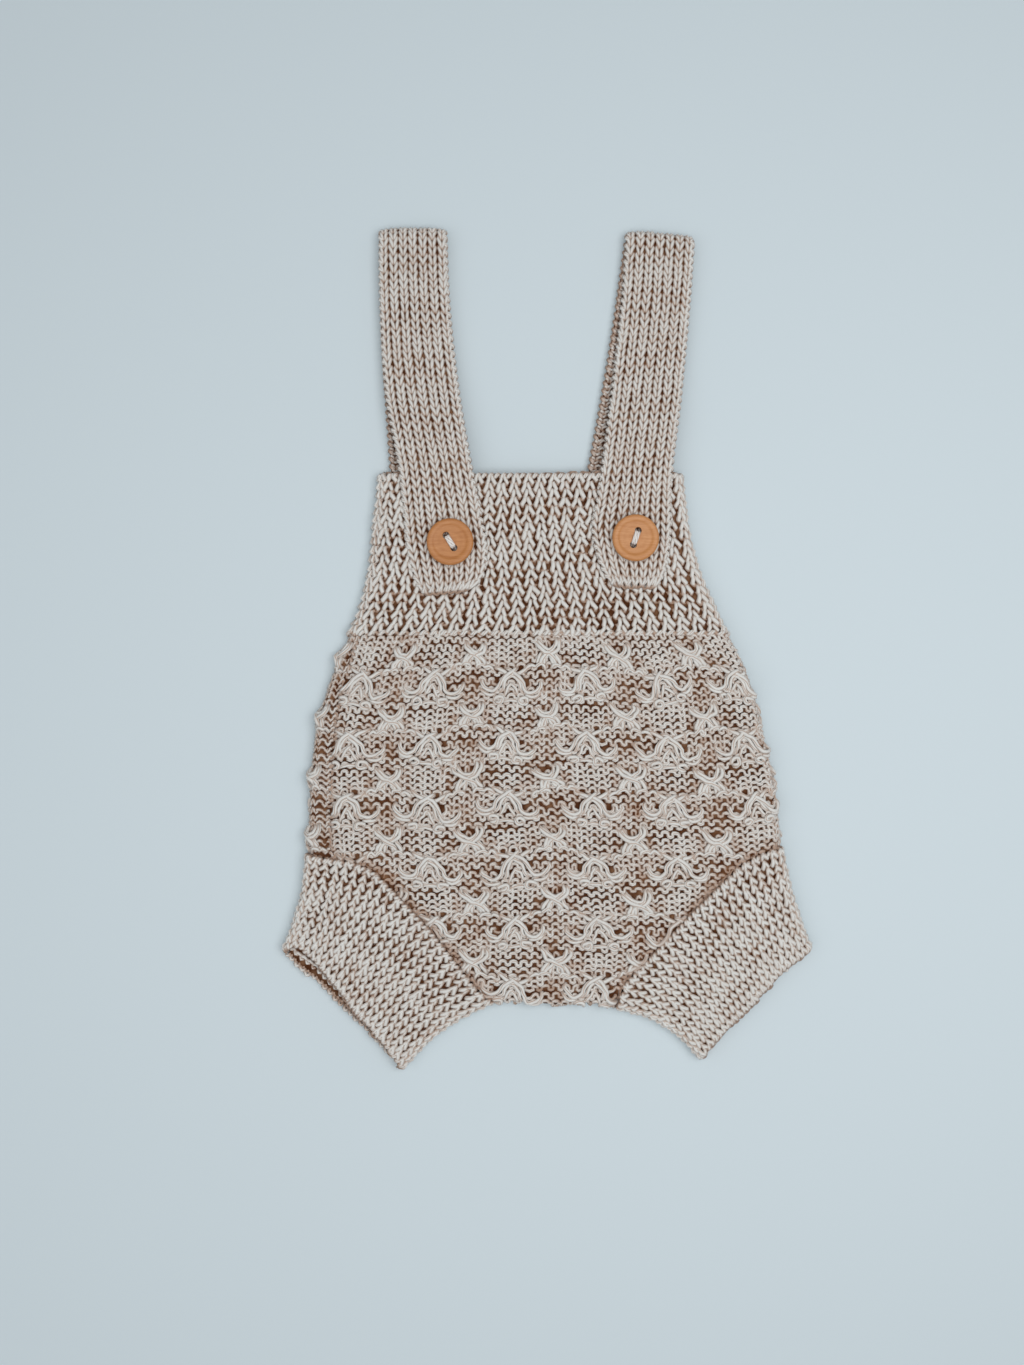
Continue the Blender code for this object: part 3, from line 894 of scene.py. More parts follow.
HAND = Hand()
BOLD_LEAN = 0.35            # how much more a bold leg leans, as a share
BOLD_LIFT = 0.3             # how much higher it lies, in mm
BOLD_GIRTH = 0.15           # how much thicker it is, as a share
DIP_SHARE = 0.7             # how much of a dip the yarn sinks; the whole dip darkens it as painted shade
RISE_SHADE = 0.3            # how much of a rise shows in the yarn's painted shade
SHORTEST_RUN = 3            # points; a shorter bit of yarn is left out


@dataclass
class Fabric:
    """Courses of stitches laid on a cloth.

    Attributes:
        cloth: the surface they lie on.
        loop: the stitch.
        wales: how many stitches lie across.
        rows: how many courses lie along.
        heads: 1 where the loops' heads point along v, -1 where they point back.
        seed: for the small unevenness of hand knitting.
        uneven: how uneven the stitches are, 1 being usual.
        inside: tells which points, given in mm, are kept, or None for all.
        shift: moves the yarn for eyelets and relief, given wales and rows, or None.
        sink: how much lower the yarn lies than usual, in mm, where it rests on the floor.
        dip: tells how much deeper the yarn lies at points given in mm, as beside a seam, and darkens it
            there as painted shade, or None.
    """

    cloth: ClothMap
    loop: Loop
    wales: int
    rows: float
    heads: int = 1
    seed: int = 1
    uneven: float = 1.0
    inside: Optional[Callable[[np.ndarray, np.ndarray], np.ndarray]] = None
    shift: Optional[Callable] = None
    sink: float = 0.0
    dip: Optional[Callable[[np.ndarray, np.ndarray], np.ndarray]] = None

    def course(self, number: float, rng: np.random.Generator) -> tuple[np.ndarray, ...]:
        """Work out the path of one course.

        Args:
            number: how far down the course lies, in rows.
            rng: the source of its unevenness, of which each stitch takes eight draws.

        Returns:
            For each point its wale, its row, its lift in mm, the yarn's radius in mm, and how far
            along the yarn it lies.
        """
        loop = self.loop
        steps = np.array(loop.steps)
        count = self.wales
        leans, slides, heights, _, girths, drops, depths, lifts = (
            rng.normal(0.0, 1.0, (8, count, 1)) * self.uneven)
        theta = 2 * math.pi * steps[None, :]
        window = (1 - np.cos(theta)) / 2
        turn = 1 - 2 * (math.floor(number) % 2)
        bold = -np.sin(theta) * turn * loop.bold
        lean = loop.lean * (1 + HAND.lean * leans) + BOLD_LEAN * loop.lean * bold
        along = np.arange(count)[:, None] + steps[None, :]
        across = along + lean * np.sin(2 * theta) + loop.pinch * np.sin(theta)
        across = across + window * HAND.slide * slides + loop.sway * turn
        height = loop.height * (1 + HAND.height * heights)
        down = -height * np.cos(theta) + window * HAND.drop * drops
        lift = -loop.depth * np.cos(2 * theta) * loop.face.value * (1 + HAND.depth * depths)
        lift = lift + HAND.lift * lifts * window + BOLD_LIFT * bold
        hidden = loop.slim * (1 + np.cos(2 * theta)) / 2 if loop.face is Face.KNIT else 0.0
        radius = loop.radius * (1 + HAND.girth * girths + BOLD_GIRTH * bold - hidden)
        last = [np.array([[float(count)]]), np.array([[down[-1, 0]]]), np.array([[lift[-1, 0]]]),
                np.array([[loop.radius * (1 - loop.slim)]]), np.array([[float(count)]])]
        flat = [np.concatenate([part.reshape(-1), end.reshape(-1)])
                for part, end in zip((across, down, lift, radius, along), last)]
        across, down, lift, radius, along = flat
        drift = HAND.wander * self.uneven * np.sin(across * 0.33 + number * 0.9 + self.seed)
        return across, number + self.heads * (down + drift), lift, radius, along

    def sunk(self, points: np.ndarray, normals: np.ndarray,
             shade: np.ndarray) -> tuple[np.ndarray, np.ndarray]:
        """Let yarn down where the cloth dips, and darken it there as painted shade.

        Args:
            points: the yarn's middle line, in metres.
            normals: the cloth's normals there.
            shade: the lift that sets its shade, in metres.

        Returns:
            The points with the dips, and the shades darkened by them as painted shade.
        """
        if self.dip is None:
            return points, shade
        fall = self.dip(points[:, 0] / MM, points[:, 1] / MM) * MM
        return points - normals * DIP_SHARE * fall[:, None], shade - fall

    def lay(self, yarn: YarnMesh, first: float = 0.5, last: Optional[float] = None) -> None:
        """Lay courses into a piece of yarn.

        Args:
            yarn: the piece that they go into.
            first: how far down the first course lies, in rows.
            last: how far down they may go, or None for the whole cloth.
        """
        rng = np.random.default_rng(self.seed)
        last = self.rows - 0.5 if last is None else last
        for number in np.arange(first, last + 0.01, 1.0):
            across, down, lift, radius, along = self.course(number, rng)
            shade = (lift + YARN_LEVEL) * MM
            if self.shift is not None:
                across, down, rise = self.shift(across, down)
                lift, shade = lift + rise, shade + RISE_SHADE * rise * MM
            u, v = spill(across / self.wales, self.cloth), down / self.rows
            level = (lift + YARN_LEVEL + self.sink) * MM
            points, normals = self.cloth.at(u, v, level)
            points, shade = self.sunk(points, normals, shade)
            keep = np.ones(len(points), bool)
            if self.inside is not None:
                keep = self.inside(points[:, 0] / MM, points[:, 1] / MM)
            for run in runs(keep):
                yarn.add(points[run], normals[run], radius[run] * MM, shade[run], along[run])


def spill(u: np.ndarray, cloth: ClothMap) -> np.ndarray:
    """Shares across that reach a little past the side seams, so that the halves knit together."""
    return u if cloth.closed else 0.5 + (u - 0.5) * (1 + SPILL)


def runs(keep: np.ndarray) -> list[slice]:
    """The stretches over which a mask is true, but for the shortest."""
    edges = np.flatnonzero(np.diff(np.concatenate([[0], keep.astype(int), [0]])))
    return [slice(start, end) for start, end in zip(edges[::2], edges[1::2]) if end - start > SHORTEST_RUN]


def smooth_line(points: np.ndarray, steps: int) -> np.ndarray:
    """A smooth line through a few points.

    Args:
        points: the points.
        steps: how many steps lie between each two of them.

    Returns:
        The line's points, the given ones among them.
    """
    padded = np.concatenate([2 * points[:1] - points[1:2], points, 2 * points[-1:] - points[-2:-1]])
    out = []
    for a, b, c, d in zip(padded, padded[1:], padded[2:], padded[3:]):
        for t in np.arange(steps) / steps:
            out.append(0.5 * ((2 * b) + (c - a) * t + (2 * a - 5 * b + 4 * c - d) * t ** 2
                              + (3 * b - a - 3 * c + d) * t ** 3))
    return np.array(out + [points[-1]])


# ---------------------------------------------------------------- the patterned body


class StrandPoint(NamedTuple):
    """A point of a slipped strand, in mm from its motif's middle; lift is above the ground yarn."""

    across: float
    down: float
    lift: float


class Strand(NamedTuple):
    """A slipped strand, its radius in mm; mirrored ones are laid on both sides of the motif."""

    points: list
    mirrored: bool = True
    radius: float = 0.8


REPEAT_WALES = 8            # stitches from one bow to the next
REPEAT_ROWS = 9             # rows from one bow to the next
STITCH_ACROSS = 3.9         # width of a stitch, mm
STITCH_DOWN = 2.66          # height of a row, mm
TENT_DOWN = 7.2             # how far a tent's peak lies below the bows beside it, mm
STRAND_LEVEL = 0.9          # how far the strands' middle lies above the ground yarn's, mm
STRAND_SHADE = -0.4         # the lift that sets the shade of a strand's outer side, mm
STRAND_SWELL = 0.7          # how much of the ground's swells the strands follow
STRAND_TURN = 0.12          # how far the yarn's twist goes on from point to point, in stitches

BOW = [
    Strand([StrandPoint(4.4, -5.2, -1.3), StrandPoint(4.9, -3.2, 0.0), StrandPoint(4.0, -1.4, 0.5),
            StrandPoint(2.2, -0.2, 0.6), StrandPoint(0.2, 0.5, 0.5), StrandPoint(-1.6, 1.4, 0.4),
            StrandPoint(-3.0, 2.7, 0.1), StrandPoint(-3.6, 4.2, -0.9)], mirrored=False, radius=0.95),
    Strand([StrandPoint(-5.7, -4.6, -1.3), StrandPoint(-4.7, -2.9, 0.0), StrandPoint(-3.3, -1.2, 0.5),
            StrandPoint(-1.6, -0.1, 0.8), StrandPoint(0.3, 0.7, 1.0), StrandPoint(1.9, 2.0, 0.6),
            StrandPoint(3.0, 4.0, -0.9)], mirrored=False, radius=0.95),
    Strand([StrandPoint(-4.2, -4.7, -1.3), StrandPoint(-3.3, -3.0, -0.1), StrandPoint(-1.9, -1.6, 0.3),
            StrandPoint(-0.3, -0.9, 0.4), StrandPoint(1.3, -1.1, 0.3), StrandPoint(2.7, -2.2, 0.2),
            StrandPoint(3.3, -3.8, -0.3), StrandPoint(3.1, -5.0, -1.3)], mirrored=False, radius=0.85),
    Strand([StrandPoint(-2.4, 0.3, -0.5), StrandPoint(-3.3, 1.5, 0.1), StrandPoint(-4.2, 2.7, 0.1),
            StrandPoint(-4.8, 4.1, -0.9)], radius=0.9),
    Strand([StrandPoint(-0.9, 1.3, 0.0), StrandPoint(-1.4, 2.7, 0.2), StrandPoint(-1.7, 4.2, -0.9)],
           radius=0.9),
    Strand([StrandPoint(-9.3, 7.4, -1.3), StrandPoint(-8.3, 5.5, -0.4), StrandPoint(-6.8, 4.7, -0.1),
            StrandPoint(-5.5, 5.3, -0.5), StrandPoint(-4.5, 4.6, -0.1), StrandPoint(-2.9, 4.3, 0.0),
            StrandPoint(-1.7, 5.0, -0.4), StrandPoint(-1.3, 6.3, -1.3)], radius=0.75),
]
TENT = [
    Strand([StrandPoint(1.9, -1.5, -0.9), StrandPoint(0.3, -0.7, 0.2), StrandPoint(-1.5, 0.4, 0.6),
            StrandPoint(-3.3, 1.9, 0.6), StrandPoint(-4.4, 3.8, 0.4), StrandPoint(-5.0, 5.7, 0.3),
            StrandPoint(-6.6, 7.1, 0.2), StrandPoint(-8.6, 7.2, 0.1), StrandPoint(-10.6, 6.0, 0.0),
            StrandPoint(-11.7, 4.3, -0.4), StrandPoint(-11.4, 2.8, -1.4)], radius=0.86),
    Strand([StrandPoint(0.9, 0.6, 0.0), StrandPoint(-0.9, 1.3, 0.1), StrandPoint(-2.2, 2.7, 0.1),
            StrandPoint(-2.9, 4.4, -0.1), StrandPoint(-3.3, 6.0, -0.3), StrandPoint(-4.5, 7.6, -1.0)],
           radius=0.8),
    Strand([StrandPoint(-6.6, -2.3, -1.4), StrandPoint(-5.0, -1.3, -0.4), StrandPoint(-3.0, -0.2, 0.0),
            StrandPoint(-1.2, 0.6, -0.2)], radius=0.9),
    Strand([StrandPoint(0.5, 3.9, -0.7), StrandPoint(-0.6, 4.7, -0.3), StrandPoint(-1.4, 6.0, -0.3),
            StrandPoint(-2.2, 7.5, -0.4), StrandPoint(-3.0, 9.0, -0.9)], radius=0.7),
    Strand([StrandPoint(-12.2, 6.2, -1.3), StrandPoint(-10.5, 8.1, -0.3), StrandPoint(-8.2, 8.7, -0.2),
            StrandPoint(-6.0, 8.2, -0.6)], radius=0.8),
    Strand([StrandPoint(-6.5, 10.9, -0.9), StrandPoint(-6.3, 9.7, -0.1), StrandPoint(-5.0, 9.2, 0.1),
            StrandPoint(-3.5, 9.5, 0.1), StrandPoint(-3.2, 10.6, 0.1), StrandPoint(-4.4, 11.4, 0.0),
            StrandPoint(-6.0, 11.3, -0.8)], radius=0.85),
    Strand([StrandPoint(-3.4, 10.9, -0.8), StrandPoint(0.0, 10.3, -0.1), StrandPoint(3.4, 10.9, -0.8)],
           mirrored=False, radius=0.75),
]


class Eyelet(NamedTuple):
    """A hole that the ground yarn leaves, in mm from its motif's middle.

    Attributes:
        across: where it lies across.
        down: where it lies down.
        push: how far the yarn is pushed aside, in mm.
        reach: how far from it the yarn still moves, in mm.
    """

    across: float
    down: float
    push: float
    reach: float


EYELET_SINK = 0.5           # how far the yarn sinks round an eyelet, mm
BOW_EYELETS = [Eyelet(-1.6, -3.0, 0.9, 1.5), Eyelet(1.4, -3.2, 0.9, 1.5)]
TENT_EYELETS = [Eyelet(-5.7, 4.3, 1.3, 2.1), Eyelet(5.7, 4.3, 1.3, 2.1),
                Eyelet(-3.8, -2.2, 0.8, 1.5), Eyelet(3.8, -2.2, 0.8, 1.5)]


class Swell(NamedTuple):
    """A soft rise or hollow of the ground, in mm from a bow's middle.

    Attributes:
        across: where it lies across.
        down: where it lies down.
        lift: how far it rises, or sinks where it is negative.
        wide: how far it reaches across.
        tall: how far it reaches down.
        drop: how far it moves the rows down.
    """

    across: float
    down: float
    lift: float
    wide: float
    tall: float
    drop: float = 0.0


SWELLS = [
    Swell(15.6, 0.0, 0.6, 8.0, 6.5),
    Swell(0.0, 12.6, -0.45, 5.6, 6.0),
    Swell(-6.8, 2.2, -0.6, 2.2, 2.4),
    Swell(6.8, 2.2, -0.6, 2.2, 2.4),
    Swell(0.0, 7.0, 0.2, 5.5, 4.0, drop=-0.9),
    Swell(15.6, 13.6, 0.3, 9.0, 4.0, drop=0.2),
    Swell(15.6, 4.6, 0.0, 4.0, 3.0, drop=-0.5),
]


@dataclass
class LacePattern:
    """The bows and tents of the body, on a lattice of stitches.

    Attributes:
        wale: where a bow's middle lies across, in stitches.
        row: where a bow's middle lies down, in rows.
    """

    wale: float
    row: float

    def _from(self, across: np.ndarray, down: np.ndarray, dx: float, dy: float) -> tuple:
        """Distance from the nearest repeat of a spot.

        Args:
            across: points across, in stitches.
            down: points down, in rows.
            dx: how far across from a bow the spot lies, in mm.
            dy: how far down from a bow it lies, in mm.

        Returns:
            The distances across and down, in mm.
        """
        wale = self.wale + dx / STITCH_ACROSS
        row = self.row + dy / STITCH_DOWN
        off_across = (across - wale + REPEAT_WALES / 2) % REPEAT_WALES - REPEAT_WALES / 2
        off_down = (down - row + REPEAT_ROWS / 2) % REPEAT_ROWS - REPEAT_ROWS / 2
        return off_across * STITCH_ACROSS, off_down * STITCH_DOWN

    def warp(self, across: np.ndarray, down: np.ndarray) -> tuple[np.ndarray, np.ndarray]:
        """Give the whole pattern a gentle unevenness, as the garment was laid down.

        Args:
            across: points across, in stitches.
            down: points down, in rows.

        Returns:
            The moved points, across and down.
        """
        moved_across = across + 0.22 * np.sin(0.16 * down + 0.9) + 0.14 * np.sin(0.31 * across + 0.25 * down)
        moved_down = down + 0.30 * np.sin(0.21 * across + 0.5) + 0.22 * np.sin(0.47 * across - 0.15 * down)
        return moved_across, moved_down

    def shift(self, across: np.ndarray, down: np.ndarray) -> tuple:
        """Move ground yarn aside for the eyelets, and up or down with the swells.

        Args:
            across: points across, in stitches.
            down: points down, in rows.

        Returns:
            The moved points, across and down, and how far each rises, in mm.
        """
        rise = np.zeros(len(across))
        half = REPEAT_WALES * STITCH_ACROSS / 2
        spots = [(e.across, e.down, e) for e in BOW_EYELETS]
        spots += [(e.across + half, e.down + TENT_DOWN, e) for e in TENT_EYELETS]
        moved_across, moved_down = across.copy(), down.copy()
        for dx, dy, eyelet in spots:
            x, y = self._from(across, down, dx, dy)
            away = np.hypot(x, y) + 1e-6
            push = eyelet.push * np.exp(-((away / eyelet.reach) ** 2)) * np.minimum(away, 1.0)
            moved_across += push * x / away / STITCH_ACROSS
            moved_down += push * y / away / STITCH_DOWN
            rise -= EYELET_SINK * np.exp(-((away / eyelet.reach) ** 2))
        for swell in SWELLS:
            x, y = self._from(across, down, swell.across, swell.down)
            share = np.exp(-((x / swell.wide) ** 2) - ((y / swell.tall) ** 2))
            rise += swell.lift * share
            moved_down += swell.drop * share / STITCH_DOWN
        return *self.warp(moved_across, moved_down), rise

    def spots(self, wales: int, rows: float) -> list[tuple[float, float, list]]:
        """Every motif on the cloth.

        Args:
            wales: the cloth's stitches across.
            rows: its rows down.

        Returns:
            The wale and row of each motif's middle, and its strands.
        """
        found = []
        for kind, dx, dy in ((BOW, 0.0, 0.0), (TENT, REPEAT_WALES / 2, TENT_DOWN / STITCH_DOWN)):
            first_wale = (self.wale + dx) % REPEAT_WALES
            first_row = (self.row + dy) % REPEAT_ROWS
            for row in np.arange(first_row, rows, REPEAT_ROWS):
                for wale in np.arange(first_wale, wales, REPEAT_WALES):
                    found.append((wale, row, kind))
        return found

    def lay(self, yarn: YarnMesh, fabric: Fabric, seed: int, steps: int) -> None:
        """Lay the slipped strands of every motif.

        Args:
            yarn: the piece that they go into.
            fabric: the ground that they lie on.
            seed: for their unevenness.
            steps: points between two of a strand's own.
        """
        rng = np.random.default_rng(seed)
        for wale, row, strands in self.spots(fabric.wales, fabric.rows):
            size = 1 + 0.07 * rng.normal()
            turn = 0.09 * rng.normal()
            for strand in strands:
                for side in ((-1, 1) if strand.mirrored else (1,)):
                    base = np.array(strand.points) + rng.normal(0, 0.2, (len(strand.points), 3))
                    line = smooth_line(base, steps)
                    x = line[:, 0] * side * size
                    y = line[:, 1] * size
                    x, y = x - turn * y, y + turn * x
                    across = wale + x / STITCH_ACROSS
                    down = row + y / STITCH_DOWN
                    ground = self.shift(across, down)[2]
                    across, down = self.warp(across, down)
                    level = YARN_LEVEL + STRAND_LEVEL + fabric.sink + line[:, 2] + STRAND_SWELL * ground
                    # Painted shade: a strand is darker where it dives under the ground yarn.
                    shade = (STRAND_SHADE - strand.radius + np.minimum(line[:, 2], 0.0) * 0.8) * MM
                    u, v = across / fabric.wales, down / fabric.rows
                    points, normals = fabric.cloth.at(u, v, level * MM)
                    points, shade = fabric.sunk(points, normals, shade)
                    keep = (u > 0.002) & (u < 0.998) & (v > 0.0)
                    keep &= fabric.inside(points[:, 0] / MM, points[:, 1] / MM)
                    radius = np.full(len(x), strand.radius * MM)
                    along = np.arange(len(x)) * STRAND_TURN
                    for run in runs(keep):
                        yarn.add(points[run], normals[run], radius[run], shade[run], along[run])


# ---------------------------------------------------------------- finishes


Feed = Union[float, tuple, bpy.types.NodeSocket, None]


def socket(group: bpy.types.NodeTree, name: str, way: str, kind: str,
           value: Optional[float] = None) -> None:
    """Add a named input or output to a node group.

    Args:
        group: the node group.
        name: the socket's name.
        way: INPUT or OUTPUT.
        kind: the socket's type.
        value: an input's usual value.
    """
    made = group.interface.new_socket(name=name, in_out=way, socket_type=kind)
    if value is not None:
        made.default_value = value


class Nodes:
    """A node tree that is filled step by step."""

    def __init__(self, tree: bpy.types.NodeTree) -> None:
        """Work on a tree."""
        self.tree = tree

    def add(self, kind: str, **settings: Union[str, bool, bpy.types.NodeTree]) -> bpy.types.Node:
        """Add a node.

        Args:
            kind: the node's type.
            **settings: its properties.

        Returns:
            The node.
        """
        node = self.tree.nodes.new(kind)
        for name, value in settings.items():
            setattr(node, name, value)
        return node

    def link(self, source: bpy.types.NodeSocket, target: bpy.types.NodeSocket) -> None:
        """Join an output to an input."""
        self.tree.links.new(source, target)

    def feed(self, target: bpy.types.NodeSocket, value: Feed) -> None:
        """Give an input a fixed value or join an output to it.

        Args:
            target: the input.
            value: a number, a colour, an output, or None to leave it alone.
        """
        if isinstance(value, (int, float, tuple)):
            target.default_value = value
        elif value is not None:
            self.link(value, target)

    def math(self, operation: str, first: Feed, second: Feed = None) -> bpy.types.NodeSocket:
        """Work out a sum of one or two values.

        Args:
            operation: the Math node's operation.
            first: the first value.
            second: the second value, if it takes one.

        Returns:
            The result's socket.
        """
        node = self.add("ShaderNodeMath", operation=operation)
        for number, value in enumerate((first, second)):
            self.feed(node.inputs[number], value)
        return node.outputs[0]

    def mix(self, share: Feed, first: Feed, second: Feed) -> bpy.types.NodeSocket:
        """Mix two colours.

        Args:
            share: how much of the second there is.
            first: the first colour.
            second: the second colour.

        Returns:
            The mixed colour's socket.
        """
        node = self.add("ShaderNodeMix", data_type="RGBA")
        for number, value in ((0, share), (6, first), (7, second)):
            self.feed(node.inputs[number], value)
        return node.outputs[2]

    def spread(self, value: bpy.types.NodeSocket, low: float, high: float, to_low: float = 0.0,
               to_high: float = 1.0) -> bpy.types.NodeSocket:
        """Map a range of values onto another, clamped at its ends.

        Args:
            value: what is mapped.
            low: the value that becomes to_low.
            high: the value that becomes to_high.
            to_low: one end of the new range.
            to_high: its other end.

        Returns:
            The mapped value's socket.
        """
        node = self.add("ShaderNodeMapRange")
        self.link(value, node.inputs["Value"])
        for name, number in (("From Min", low), ("From Max", high), ("To Min", to_low), ("To Max", to_high)):
            node.inputs[name].default_value = number
        return node.outputs["Result"]

    def bump(self, height: bpy.types.NodeSocket, strength: float, distance: float,
             shader: bpy.types.Node) -> None:
        """Give a shader a bump.

        Args:
            height: the height's socket.
            strength: the bump's strength.
            distance: how high it stands, in mm.
            shader: the shader whose normal it turns.
        """
        node = self.add("ShaderNodeBump")
        node.inputs["Strength"].default_value = strength
        node.inputs["Distance"].default_value = distance * MM
        self.link(height, node.inputs["Height"])
        self.link(node.outputs[0], shader.inputs["Normal"])


def new_material(name: str, **values: Feed) -> tuple[bpy.types.Material, Nodes, bpy.types.Node]:
    """Start a material.

    Args:
        name: its name.
        **values: fixed values of the shader's sockets, whose names have _ for each space.

    Returns:
        The material, its nodes and its shader.
    """
    material = bpy.data.materials.new(name)
    material.use_nodes = True
    shader = material.node_tree.nodes["Principled BSDF"]
    for socket_name, value in values.items():
        shader.inputs[socket_name.replace("_", " ")].default_value = value
    return material, Nodes(material.node_tree), shader


def ply_group() -> bpy.types.NodeTree:
    """Make the twist of a plied yarn, from a coordinate along and round it.

    Returns:
        The node group, which puts out the twist's height and its grooves.
    """
    group = bpy.data.node_groups.new("ply_twist", "ShaderNodeTree")
    socket(group, "Along Round", "INPUT", "NodeSocketVector")
    socket(group, "Plies", "INPUT", "NodeSocketFloat", 3.0)
    socket(group, "Turns", "INPUT", "NodeSocketFloat", 3.0)
    socket(group, "Height", "OUTPUT", "NodeSocketFloat")
    socket(group, "Groove", "OUTPUT", "NodeSocketFloat")
    nodes = Nodes(group)
    given = nodes.add("NodeGroupInput")
    out = nodes.add("NodeGroupOutput")
    parts = nodes.add("ShaderNodeSeparateXYZ")
    nodes.link(given.outputs["Along Round"], parts.inputs[0])
    along = nodes.math("MULTIPLY", parts.outputs[0], given.outputs["Turns"])
    round_it = nodes.math("MULTIPLY", parts.outputs[1], given.outputs["Plies"])
    phase = nodes.math("MULTIPLY", nodes.math("ADD", along, round_it), math.pi)
    lobe = nodes.math("ABSOLUTE", nodes.math("SINE", phase))
    fibres = nodes.add("ShaderNodeTexNoise", noise_dimensions="2D")
    stretch = nodes.add("ShaderNodeMapping")
    stretch.inputs["Scale"].default_value = (9.0, 30.0, 1.0)
    stretch.inputs["Rotation"].default_value = (0.0, 0.0, 0.35)
    nodes.link(given.outputs["Along Round"], stretch.inputs["Vector"])
    nodes.link(stretch.outputs[0], fibres.inputs["Vector"])
    fibres.inputs["Scale"].default_value = 1.0
    height = nodes.math("ADD", lobe, nodes.math("MULTIPLY", fibres.outputs[0], 0.45))
    nodes.link(height, out.inputs["Height"])
    nodes.link(nodes.spread(lobe, 0.55, 0.0), out.inputs["Groove"])
    return group


@dataclass(frozen=True)
class YarnFinish:
    """Matt plied cotton yarn with painted shade: paler where it stands out, browner where it sinks in.

    Attributes:
        name: the material's name.
        pale: colour of the outermost yarn, where no shade is painted.
        body: painted shade on the yarn's flanks, a brown.
        gap_shade: painted shade in the gaps, a dark brown.
        low: depth below the cloth's upper side at which the painted shade is wholly the gaps' colour, in mm.
        high: depth at which it is wholly pale, with no painted shade, in mm.
        plies: how many plies are twisted together.
        turns: how often they wind round in one stitch.
        groove_shade: how far painted shade, in the flanks' colour, fills the lines between plies.
    """

    name: str
    pale: tuple = (0.78, 0.775, 0.745, 1.0)
    body: tuple = (0.46, 0.32, 0.24, 1.0)
    gap_shade: tuple = (0.12, 0.038, 0.013, 1.0)
    low: float = -1.75
    high: float = -0.25
    plies: int = 3
    turns: int = 2
    groove_shade: float = 0.8

    def build(self, ply: bpy.types.NodeTree) -> bpy.types.Material:
        """Make the material.

        Args:
            ply: the node group of the yarn's twist.

        Returns:
            The material.
        """
        material, nodes, shader = new_material(self.name, Roughness=0.92, Sheen_Weight=0.25,
                                               Sheen_Roughness=0.5, Specular_IOR_Level=0.2)
        uv = nodes.add("ShaderNodeUVMap", uv_map="OFBake")
        twist = nodes.add("ShaderNodeGroup", node_tree=ply)
        nodes.link(uv.outputs[0], twist.inputs["Along Round"])
        twist.inputs["Plies"].default_value = self.plies
        twist.inputs["Turns"].default_value = self.turns
        # Painted shade: the depth attribute picks the colour, pale where the yarn stands out, brown on its
        # flanks, dark brown in the gaps.
        depth = nodes.add("ShaderNodeAttribute", attribute_name="depth")
        raised = nodes.spread(depth.outputs["Fac"], self.low, self.high)
        ramp = nodes.add("ShaderNodeValToRGB")
        ramp.color_ramp.elements[0].color = self.gap_shade
        ramp.color_ramp.elements[1].color = self.pale
        middle = ramp.color_ramp.elements.new(0.5)
        middle.color = self.body
        nodes.link(raised, ramp.inputs[0])
        place = nodes.add("ShaderNodeTexCoord")
        tone = nodes.add("ShaderNodeTexNoise")
        tone.inputs["Scale"].default_value = 160.0
        tone.inputs["Detail"].default_value = 3.0
        nodes.link(place.outputs["Object"], tone.inputs["Vector"])
        uneven = nodes.spread(tone.outputs[0], 0.3, 0.7, 0.0, 0.16)
        colour = nodes.mix(uneven, ramp.outputs[0], self.body)
        # Painted shade in the grooves between the plies.
        groove_shade = nodes.math("MULTIPLY", twist.outputs["Groove"], self.groove_shade)
        colour = nodes.mix(groove_shade, colour, self.body)
        nodes.link(colour, shader.inputs["Base Color"])
        nodes.bump(twist.outputs["Height"], 0.5, 0.25, shader)
        return material


@dataclass(frozen=True)
class GapShadeFinish:
    """Painted shade on the inner cloth that shows between the yarns: dark brown grains.

    Attributes:
        name: the material's name.
        dark: darker painted shade between the grains.
        light: lighter painted shade of the grains.
        scale: how many grains lie along a metre.
    """

    name: str
    dark: tuple = (0.085, 0.030, 0.012, 1.0)
    light: tuple = (0.22, 0.112, 0.06, 1.0)
    scale: float = 330.0

    def build(self) -> bpy.types.Material:
        """Make the material.

        Returns:
            The material.
        """
        material, nodes, shader = new_material(self.name, Roughness=1.0, Specular_IOR_Level=0.05)
        place = nodes.add("ShaderNodeTexCoord")
        cells = nodes.add("ShaderNodeTexVoronoi")
        cells.inputs["Scale"].default_value = self.scale
        nodes.link(place.outputs["Object"], cells.inputs["Vector"])
        spread = nodes.spread(cells.outputs["Distance"], 0.1, 0.7)
        colour = nodes.mix(spread, self.light, self.dark)
        nodes.link(colour, shader.inputs["Base Color"])
        nodes.bump(cells.outputs["Distance"], 0.6, 0.6, shader)
        return material


